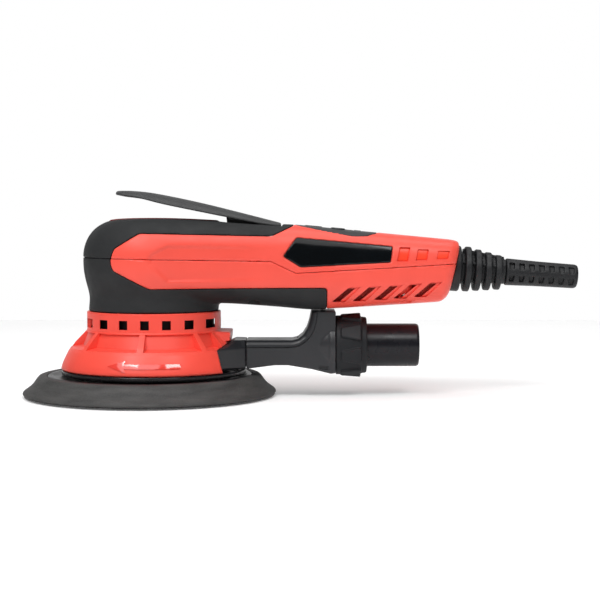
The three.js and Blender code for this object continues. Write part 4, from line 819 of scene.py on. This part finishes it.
# ------------------------------------------------------------------ shroud and brake lip
# A red moulding closes the head from below: a ring of square cooling windows over a flared skirt with
# ribs, a hood over the dust outlet and a raised arrow. A rubber lip under it brakes the free pad.
SHROUD_OUTSIDE = [
    (54.3, 15.9), (55.0, 16.6), (54.6, 18.2), (53.7, 20.6), (52.4, 23.4), (50.4, 27.3), (47.4, 31.4),
    (41.4, 37.6), (40.8, 38.4), (39.6, 38.8), (39.6, 50.0), (39.3, 50.3),
]
SHROUD_INSIDE = [
    (37.4, 50.3), (37.4, 38.9), (23.5, 38.9), (23.5, 36.5), (35.4, 36.4), (39.6, 28.8), (46.0, 25.4), (51.4, 19.8),
    (52.6, 15.9),
]
SHROUD_RIBS = 8
RIB_TURN = -93.5
RIB_ANGLE = 4.4
RIB_PITCH = 360 / SHROUD_RIBS
HOOD_SIDE_SWEEP = 17  # the short pockets on both sides of the hood
shroud = piece("shroud_moulding", spun(SHROUD_OUTSIDE + SHROUD_INSIDE, 216, closed=True))
WINDOW_TURNS = [-66, -41, -20.5, -2, 16, 36, 61]
window_bms, pocket_bms = [], []
for side in (-1, 1):
    for turn in WINDOW_TURNS:
        x = 39.6 * sin(radians(turn))
        line = [(x - 2.5, 41.0), (x + 2.5, 41.0), (x + 2.5, 46.3), (x - 2.5, 46.3)]
        window_bms.append(prism(line, min(side * 8, side * 46), max(side * 8, side * 46)))
    end_line = [(-2.5, 41.0), (2.5, 41.0), (2.5, 46.3), (-2.5, 46.3)]
    window_bms.append(prism(end_line, min(side * 30, side * 46), max(side * 30, side * 46), "YZ"))
window_wall = tool(spun([(36.9, 40), (46, 40), (46, 48), (36.9, 48)], 96, closed=True))
windows = shaped(tool(joined(*window_bms)), ("INTERSECT", window_wall))
POCKET_LINE = [(38.9, 38.0), (45.6, 40.6), (52.4, 29.6), (48.6, 29.0), (41.9, 30.2)]
for k in range(SHROUD_RIBS):
    start = RIB_TURN + RIB_PITCH * k + RIB_ANGLE / 2
    sweep = RIB_PITCH - RIB_ANGLE
    if abs((start + RIB_PITCH / 2 + 180) % 360 - 180) < 25:
        start += 0 if start < -10 else sweep - HOOD_SIDE_SWEEP
        sweep = HOOD_SIDE_SWEEP
    bm = spun(POCKET_LINE, 20, closed=True, angle=radians(sweep))
    bmesh.ops.rotate(bm, matrix=Matrix.Rotation(radians(start), 3, "Z"), verts=bm.verts)
    pocket_bms.append(bm)
hood = tool(prism([(34, 33.2), (45.9, 33.2), (46.1, 38.0), (45.7, 38.4), (34, 38.6)], -17, 17))
arrow_line = [
    (-21.4, 21.6), (-10.5, 25.0), (-11.6, 22.9), (19.9, 22.9), (19.9, 20.3), (-11.6, 20.3), (-10.5, 18.2),
]
arrow_skin = SHROUD_OUTSIDE[1:7]
arrow = piece("turning_arrow", prism(arrow_line, -70, -20, corner=0.3))
arrow_shell = [(r + 0.42, z) for r, z in arrow_skin] + [(r - 0.8, z) for r, z in arrow_skin[::-1]]
crisp(shaped(arrow, ("INTERSECT", tool(spun(arrow_shell, 216, closed=True)))))
arrow_red = moulded(
    "red_arrow_polished", (0.78, 0.042, 0.026), 0.03, (0.5, 0.6), 300, 0.000002, coat=1.0, shine=0.1
)
arrow_red.node_tree.nodes["Principled BSDF"].inputs["Coat IOR"].default_value = 1.75
finish(arrow, arrow_red)
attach(arrow, "housing")
STUB_TOP, STUB_FLOOR = 33.4, 16.6
skirt_end = tool(prism([(48.2, 33.6), (39.0, 28.9), (42.9, 14.7), (80, 14.7), (80, 33.6)], -70, 70))


def stub_ring(x, grow):
    """A section of the stub: it flares from the duct's width to the chord where the skirt stops."""
    flare = max(55.4 - x, 0) / (55.4 - 39)
    half, top = 14.6 + 14.6 * flare + grow, 10.9 + 6.4 * flare + grow
    side = [
        (top, STUB_TOP + grow), (half, STUB_TOP - 4.3 + grow * 0.6), (half, STUB_FLOOR + 1.2),
        (half - 1.2, STUB_FLOOR - grow),
    ]
    return [(x, y, z) for y, z in side + [(-y, z) for y, z in reversed(side)]]


shaped(shroud, ("UNION", hood))
inside_line = [(0, 10), (52.4, 10)] + SHROUD_INSIDE[::-1][:5] + [(0, 36.4)]
shaped(shroud, ("DIFFERENCE", tool(spun(inside_line, 144))), ("DIFFERENCE", skirt_end))
SHROUD_SCREWS = ["shroud_screw_1", "shroud_screw_2", "shroud_screw_3"]
for name in SHROUD_SCREWS:
    middle = place_of(name)[2]
    post = spun([(0, 37), (4, 37), (4, 50.8), (0, 50.8)], 32)
    hole = spun([(0, 20), (1.8, 20), (1.8, 70), (0, 70)], 24)
    for bm in (post, hole):
        bmesh.ops.translate(bm, vec=(middle.x, middle.y, 0), verts=bm.verts)
    shaped(shroud, ("UNION", tool(post)), ("DIFFERENCE", tool(hole)))
softened(shroud, 0.5, 2)
crisp(shroud, windows, tool(joined(*pocket_bms)))
finish(shroud, moulded("red_skirt", (0.86, 0.078, 0.052), 0.05, (0.34, 0.46), 1500, 0.00001, shine=0.38))
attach(shroud, "housing")
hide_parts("shroud")

# Painted shade: a thin black ring just inside the shroud, behind its cooling windows, a dark sheet that keeps the
# view through the windows dark.
shade_ring = piece("window_shade_ring", spun([(34.8, 39.4), (35.6, 39.4), (35.6, 48.2), (34.8, 48.2)], 144, closed=True))
finish(shade_ring, moulded("window_shade_black", (0.006, 0.006, 0.007), 0.2, (0.6, 0.75), 1200, 0.00002, shine=0.2))
edged(shade_ring, 40)
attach(shade_ring, "housing")

lip_line = [
    (50.2, 12.95), (53.9, 12.85), (54.6, 13.3), (54.75, 14.4), (54.7, 15.2), (54.2, 15.6), (52.4, 15.6),
    (50.6, 14.2),
]
lip = piece("brake_lip_ring", spun(eased(lip_line + lip_line[:1], 4)[:-1], 180, closed=True))
lip.data.shade_smooth()
finish(lip, moulded("lip_rubber", (0.008, 0.008, 0.009), 0.2, (0.2, 0.34), 900, 0.00001, shine=0.4))
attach(lip, "housing")
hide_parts("brake_lip")

# ------------------------------------------------------------------ pad
# Moulded polyurethane foam, flared to the disc's edge, on a hard gloss plate that screws to the
# pad's spindle. A thin hook face takes the abrasive disc, and six dust holes go right through.
PAD_AT = -2.5
pad_line = [
    (5, 1.35), (74.0, 1.35), (74.7, 1.55), (75.0, 2.0), (74.9, 2.5), (74.2, 3.3), (72.6, 4.4), (70.6, 5.9),
    (68.9, 7.6), (67.6, 9.4), (66.4, 11.1), (65.4, 12.1), (64.3, 12.5), (61.4, 12.5), (60.9, 12.3), (60.9, 9.8),
    (5, 9.8),
]


def on_pad(bm):
    bmesh.ops.translate(bm, vec=(PAD_AT, 0, 0), verts=bm.verts)
    return bm


def dust_holes(radius):
    bms = []
    for k in range(6):
        bm = spun([(0, -2), (radius, -2), (radius, 18), (0, 18)], 32)
        angle = radians(30 + 60 * k)
        bmesh.ops.translate(bm, vec=(40 * cos(angle), 40 * sin(angle), 0), verts=bm.verts)
        bms.append(bm)
    return tool(on_pad(joined(*bms)))


foam = piece("foam_pad", on_pad(spun(pad_line, 200, closed=True)))
shaped(foam, ("DIFFERENCE", dust_holes(5.0)))
edged(foam, 50)
material, tree, shader, place = tree_of("pad_foam_skin")
speckle = noise(tree, place, 1400, 4)
streaks = noise(tree, place, 60, 5, (1, 1, 6))
greys = blended(tree, ranged(tree, streaks, 0, 1), (0.031, 0.0305, 0.03), (0.059, 0.0575, 0.056))
tree.links.new(greys, shader.inputs["Base Color"])
tree.links.new(ranged(tree, speckle, 0.6, 0.85), shader.inputs["Roughness"])
bumped(tree, shader, speckle, 0.00008)
finish(foam, material)
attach(foam, "pad")
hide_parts("pad_foam")

hook_bm = spun([(0, 0.0), (73.9, 0.0), (74.3, 0.3), (74.3, 0.9), (73.9, 1.2), (0, 1.2)], 200)
hook = piece("hook_disc", on_pad(hook_bm))
shaped(hook, ("DIFFERENCE", dust_holes(5.5)))
edged(hook, 50)
material, tree, shader, place = tree_of("hook_weave")
cells = tree.nodes.new("ShaderNodeTexVoronoi")
cells.inputs["Scale"].default_value = 1100
tree.links.new(place, cells.inputs["Vector"])
greys = blended(tree, cells.outputs["Distance"], (0.02, 0.02, 0.021), (0.11, 0.11, 0.11))
tree.links.new(greys, shader.inputs["Base Color"])
tree.links.new(ranged(tree, noise(tree, place, 500), 0.75, 0.95), shader.inputs["Roughness"])
shader.inputs["Sheen Weight"].default_value = 0.3
bumped(tree, shader, cells.outputs["Distance"], 0.0003)
finish(hook, material)
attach(hook, "pad")
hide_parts("hook_face")

plate_line = [
    (0, 4.0), (15.9, 4.0), (15.9, 10.0), (60.3, 10.0), (60.4, 12.2), (60.0, 12.5), (57.4, 12.5), (56.8, 12.1),
    (26, 12.1), (22, 12.7), (18.4, 13.9), (14.8, 14.25), (0, 14.25),
]
plate = piece("pad_backing_plate", on_pad(spun(plate_line, 160)))
stud_hole = on_pad(spun([(0, 5.6), (4.3, 5.6), (4.3, 20), (0, 20)], 40))
shaped(plate, ("DIFFERENCE", dust_holes(4.7)), ("DIFFERENCE", tool(stud_hole)))
edged(plate, 40)
finish(plate, moulded("plate_gloss_black", (0.006, 0.006, 0.007), 0.2, (0.26, 0.38), 700, 0.00001, shine=0.2))
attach(plate, "pad")
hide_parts("pad_plate")

# ------------------------------------------------------------------ dust stub and duct
# Black glass-nylon mouldings: the stub leads out of the shroud under its hood, and the duct runs back
# to the hose collar and up to a brace that is screwed under the grip.
duct_black = moulded("duct_black", (0.021, 0.022, 0.025), 0.12, (0.3, 0.42), 2200, 0.00003, shine=0.45)
stub = piece("outlet_stub", lofted([stub_ring(x, 0) for x in (38.4, 44, 50, 54.7)] + [stub_ring(55.1, -0.4)]))
stub_bore = tool(lofted([stub_ring(x, -2.1) for x in (36, 55.4, 58)]))
stub_room = tool(prism([(48.5, 33.45), (38.4, 28.2), (38.4, 14.7), (80, 14.7), (80, 33.45)], -70, 70))
shaped(stub, ("DIFFERENCE", stub_bore), ("INTERSECT", stub_room))
softened(stub, 0.45, 2)
finish(stub, duct_black)
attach(stub, "housing")
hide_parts("duct_stub")

TUBE_Z = 29.6
BRACE_TOP = place_of("dust_duct")[1].z
DUCT_LINE = [
    (55.4, 16.6), (72, 18.7), (80, 18.7), (94, 16.4), (105, 13.7), (107.9, 14.0), (107.9, BRACE_TOP),
    (93.6, BRACE_TOP), (92.4, 44.6), (91.0, 40.4), (88.6, 36.6), (85.6, 34.2), (82.2, 33.4), (55.4, 33.4),
]
EDGE_ROUND = 3.9
duct_bm = prism(DUCT_LINE, -14.6, 14.6)
upper_edges = []
for e in duct_bm.edges:
    a, b = (v.co for v in e.verts)
    middle = (a + b) / 2
    if abs(a.y - b.y) < 0.1 and 25 < middle.z < BRACE_TOP - 0.1 and 56 < middle.x < 107.5:
        upper_edges.append(e)
rounded(duct_bm, upper_edges, EDGE_ROUND, 4)
duct = piece("dust_duct_moulding", duct_bm)


def on_tube(profile, steps=96, closed=False):
    """Turned about the hose's axis from (radius, x) points."""
    bm = spun(profile, steps, closed)
    bmesh.ops.rotate(bm, matrix=Matrix.Rotation(pi / 2, 3, "Y"), verts=bm.verts)
    bmesh.ops.translate(bm, vec=(0, 0, TUBE_Z), verts=bm.verts)
    return bm


def beside(line, by):
    """An open line moved sideways, to its right for a positive amount."""
    out = []
    for i, here in enumerate(line):
        before, after = line[max(i - 1, 0)], line[min(i + 1, len(line) - 1)]
        along = (Vector(after) - Vector(before)).normalized()
        out.append((here[0] + along.y * by, here[1] - along.x * by))
    return out


# A fine groove follows the duct's back where the rounded edge ends.
BACK_LINE = [
    (52, 33.4), (78, 33.4), (82.2, 33.6), (85.6, 34.6), (88.6, 37.0), (90.8, 40.4), (92.2, 44.6), (93.4, 53),
]
groove_line = beside(eased(BACK_LINE, 4), EDGE_ROUND) + beside(eased(BACK_LINE, 4), EDGE_ROUND + 0.6)[::-1]
grooves = tool(joined(prism(groove_line, -20, -13.3), prism(groove_line, 13.3, 20)))
flare_line = [
    (0, 92), (12.4, 92), (14.4, 98), (16.4, 103.4), (17.2, 105), (17.2, 107.6), (16.9, 107.9), (0, 107.9),
]
flare = tool(on_tube(flare_line))
flare_trim = tool(prism([(60, 13.6), (107.95, 13.6), (107.95, 60), (60, 60)], -17.3, 17.3))
shaped(flare, ("INTERSECT", flare_trim))
spigot = tool(on_tube([(0, 107), (15.6, 107), (15.6, 118.9), (15.2, 119.3), (0, 119.3)]))
throat = tool(on_tube([(0, 99.9), (14.1, 99.9), (14.1, 130), (0, 130)]))
channel = tool(lofted([
    rounded_ring(50, 12, 18.6, 31.4, 5, 48), rounded_ring(80, 12, 20.6, 31.4, 5, 48),
    rounded_ring(101, 12.2, TUBE_Z - 11.8, TUBE_Z + 11.8, 3, 48),
]))
mark_line = [(98.0, 16.4), (103.4, 15.9), (103.6, 18.2), (98.2, 18.7)]
lock_mark = tool(joined(prism(mark_line, -20, -13.2, corner=0.4), prism(mark_line, 13.2, 20, corner=0.4)))
screw_low, _, screw_mid = place_of("brace_screw")
head_z = screw_low.z + 2.2
screw_hole = spun([(0, TUBE_Z), (3.5, TUBE_Z), (3.5, head_z), (1.8, head_z), (1.8, 60), (0, 60)], 40)
bmesh.ops.translate(screw_hole, vec=(screw_mid.x, 0, 0), verts=screw_hole.verts)
shaped(
    duct, ("UNION", flare), ("UNION", spigot), ("DIFFERENCE", throat), ("DIFFERENCE", channel),
    ("DIFFERENCE", tool(screw_hole)),
)
softened(duct, 0.42, 1)
crisp(duct, lock_mark, grooves)
finish(duct, duct_black)
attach(duct, "housing")
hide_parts("dust_duct")

# ------------------------------------------------------------------ locking collar and hose nozzle
# The collar is a bayonet ring with raised grip pads. It holds the nozzle's flange, so that the
# polished tube, over which a hose is pushed, can swivel.
COLLAR_PADS = 8
FIRST_PAD = radians(107)
collar_line = [
    (16.1, 108.3), (17.3, 108.2), (17.6, 108.6), (17.55, 122.6), (17.2, 123.0), (16.9, 123.2), (16.6, 125.9),
    (16.1, 126.4), (13.1, 126.4), (13.1, 122.5), (16.1, 122.5),
]
collar = piece("collar_ring", on_tube(collar_line, 144, closed=True))
pads = []
for k in range(COLLAR_PADS):
    bm = prism([(111.0, -2.9), (122.8, -5.2), (122.8, 5.2), (111.0, 2.9)], 16.4, 18.75, "XY", corner=0.9)
    rounded(bm, [e for e in bm.edges if all(v.co.z > 18.7 for v in e.verts)], 0.5, 2)
    turn = FIRST_PAD + 2 * pi * k / COLLAR_PADS
    bmesh.ops.rotate(bm, matrix=Matrix.Rotation(turn, 3, "X"), verts=bm.verts)
    bmesh.ops.translate(bm, vec=(0, 0, TUBE_Z), verts=bm.verts)
    pads.append(bm)
shaped(collar, ("UNION", tool(joined(*pads))))
softened(collar, 0.36, 2)
finish(collar, moulded("collar_black", (0.015, 0.016, 0.018), 0.12, (0.46, 0.6), 2200, 0.00003, shine=0.2))
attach(collar, "locking_collar")
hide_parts("locking_collar")

nozzle_line = [
    (11.0, 110.6), (12.6, 110.5), (12.75, 110.8), (12.75, 119.6), (15.4, 119.6), (15.4, 121.8), (12.75, 121.8),
    (12.75, 155.6), (12.5, 156.6), (11.95, 157.3), (11.5, 157.35), (11.1, 157.0), (10.95, 156.2),
]
nozzle = piece("nozzle_tube", on_tube(nozzle_line, 144, closed=True))
edged(nozzle, 60)
finish(nozzle, moulded("nozzle_polished", (0.009, 0.009, 0.012), 0.25, (0.24, 0.34), 260, 0.00001, shine=0.25))
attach(nozzle, "hose_nozzle")
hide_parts("hose_nozzle")

# ------------------------------------------------------------------ cord boot and sleeve
# Black rubber strain relief: a block against the rear face, four stiffening ribs tied by webs, and a
# long slotted sleeve that lets the cord bend gently.
boot_rubber = moulded("boot_rubber", (0.013, 0.0135, 0.015), 0.16, (0.42, 0.58), 1500, 0.00005, shine=0.32)
core_line = [
    (4.6, -8), (11.3, -8), (11.3, -5.6), (9.0, -5.6), (9.0, -4.6), (13.5, -4.6), (13.6, 3.0), (13.1, 3.7),
    (8.6, 4.1), (8.0, 14), (7.4, 26), (7.4, 30.6), (4.6, 30.6),
]
boot = piece("boot_body", on_boot(spun(core_line, 96, closed=True)))
ribs = []
for k in range(4):
    z, r = 6.2 + 6.1 * k, 13.35 - 1.0 * k
    rib = spun([(5, z), (r - 0.5, z), (r, z + 0.5), (r, z + 3.2), (r - 0.5, z + 3.7), (5, z + 3.7)], 96, closed=True)
    bmesh.ops.translate(rib, vec=(0.25 * k, 0, 0), verts=rib.verts)
    ribs.append(on_boot(rib))
webs = []
for turn, reach, half in ((180, 11.9, 2.6), (112, 11.0, 0.7), (248, 11.0, 0.7)):
    bm = prism([(5, -half), (reach, -half), (reach, half), (5, half)], 5, 29.6, "XY")
    for v in bm.verts:
        v.co.x -= (v.co.z - 5) * (0.13 if v.co.x > 6 else 0)
    bmesh.ops.rotate(bm, matrix=Matrix.Rotation(radians(turn), 3, "Z"), verts=bm.verts)
    webs.append(on_boot(bm))
wall_block = copied(outer, "wall_block")
tools.append(wall_block)
grown(wall_block, 0.35)
neck_line = core_line[:4] + [(9.0, 6), (4.6, 6)]
shaped(
    boot, ("UNION", tool(joined(*ribs))), ("UNION", tool(joined(*webs))), ("DIFFERENCE", wall_block),
    ("UNION", tool(on_boot(spun(neck_line, 96, closed=True)))),
)
softened(boot, 0.4, 1)
finish(boot, boot_rubber)
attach(boot, "housing")
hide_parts("cord_boot")

SLEEVE_START, SLEEVE_END = 31.0, 73.65
sleeve_line = [(4.6, SLEEVE_START), (7.6, SLEEVE_START), (8.0, SLEEVE_START + 0.5), (7.4, 50), (7.1, 71.8),
               (6.8, 73.0), (6.2, SLEEVE_END), (4.9, SLEEVE_END), (4.6, 73.3)]
sleeve = piece("sleeve_body", on_boot(spun(sleeve_line, 96, closed=True)))
cuts = []
for row in (60, 120, 240, 300):
    for k in range(7):
        z = SLEEVE_START + 3.2 + 5.9 * k
        bm = prism([(z - 1.2, -2.2), (z + 1.2, -2.2), (z + 1.7, 2.2), (z - 1.7, 2.2)], 5.6, 10, "XY", corner=0.5)
        bmesh.ops.rotate(bm, matrix=Matrix.Rotation(-pi / 2, 3, "Y"), verts=bm.verts)
        bmesh.ops.rotate(bm, matrix=Matrix.Rotation(radians(180 + row), 3, "Z"), verts=bm.verts)
        cuts.append(on_boot(bm))
shaped(sleeve, ("DIFFERENCE", tool(joined(*cuts))))
softened(sleeve, 0.34, 2)
finish(sleeve, boot_rubber)
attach(sleeve, "housing")
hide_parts("cord_sleeve")

# ------------------------------------------------------------------ motor, spindle and electronics
# The works inside keep their turned, cast and stamped shapes: steel bearings and spindle, laminated
# stator with copper windings, cast plate and heat sink, boards, and zinc-plated screws.
turned_steel = moulded(
    "turned_steel", (0.56, 0.57, 0.59), 0.06, (0.22, 0.36), 240, 0.00001, metal=1.0, stretch=(1, 1, 18)
)
zinc = moulded("zinc_plate", (0.62, 0.63, 0.62), 0.08, (0.28, 0.42), 900, 0.00001, metal=1.0)
cast_alloy = moulded("cast_alloy", (0.62, 0.63, 0.65), 0.08, (0.36, 0.55), 1300, 0.00004, metal=1.0)
lamination = moulded(
    "lamination_iron", (0.2, 0.2, 0.22), 0.12, (0.4, 0.6), 160, 0.00006, metal=1.0, stretch=(0.1, 0.1, 14)
)
copper = moulded("winding_copper", (0.62, 0.26, 0.1), 0.15, (0.25, 0.4), 700, 0.0001, metal=1.0)
board_green = moulded("board_green", (0.015, 0.12, 0.05), 0.2, (0.28, 0.42), 420, 0.00003)
inner_black_and_window_shade = moulded("inner_black_and_window_shade", (0.028, 0.029, 0.03), 0.12, (0.45, 0.6), 1500, 0.00003)
can_black = moulded("capacitor_sleeve", (0.012, 0.013, 0.02), 0.2, (0.2, 0.32), 800, 0.00001)
seal_rubber = moulded("seal_rubber", (0.015, 0.015, 0.016), 0.2, (0.4, 0.55), 900, 0.00002)
INSIDES = {
    turned_steel: [
        "lower_bearing", "upper_bearing", "pad_bearing", "eccentric_spindle", "pad_spindle", "lever_pin",
    ],
    zinc: SHELL_SCREWS + SHROUD_SCREWS + ["brace_screw", "clamp_screw_near", "clamp_screw_far"],
    cast_alloy: ["heat_sink"],
    lamination: ["stator_core", "rotor", "counterweight"],
    copper: ["winding_upper", "winding_lower"],
    board_green: ["control_board", "button_board"],
    # Painted shade: the bearing plate is cast alloy, but takes this black so that what shows of it through the
    # shroud's windows stays dark.
    inner_black_and_window_shade: ["bearing_plate", "motor_frame", "cooling_fan", "lever_switch", "cord_clamp", "terminal_block"],
    can_black: ["capacitor_near", "capacitor_far"],
    seal_rubber: ["nozzle_seal"],
}
for colour, names in INSIDES.items():
    for name in names:
        for material_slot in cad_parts[name].material_slots:
            material_slot.material = colour

for obj in tools:
    bpy.data.objects.remove(obj)
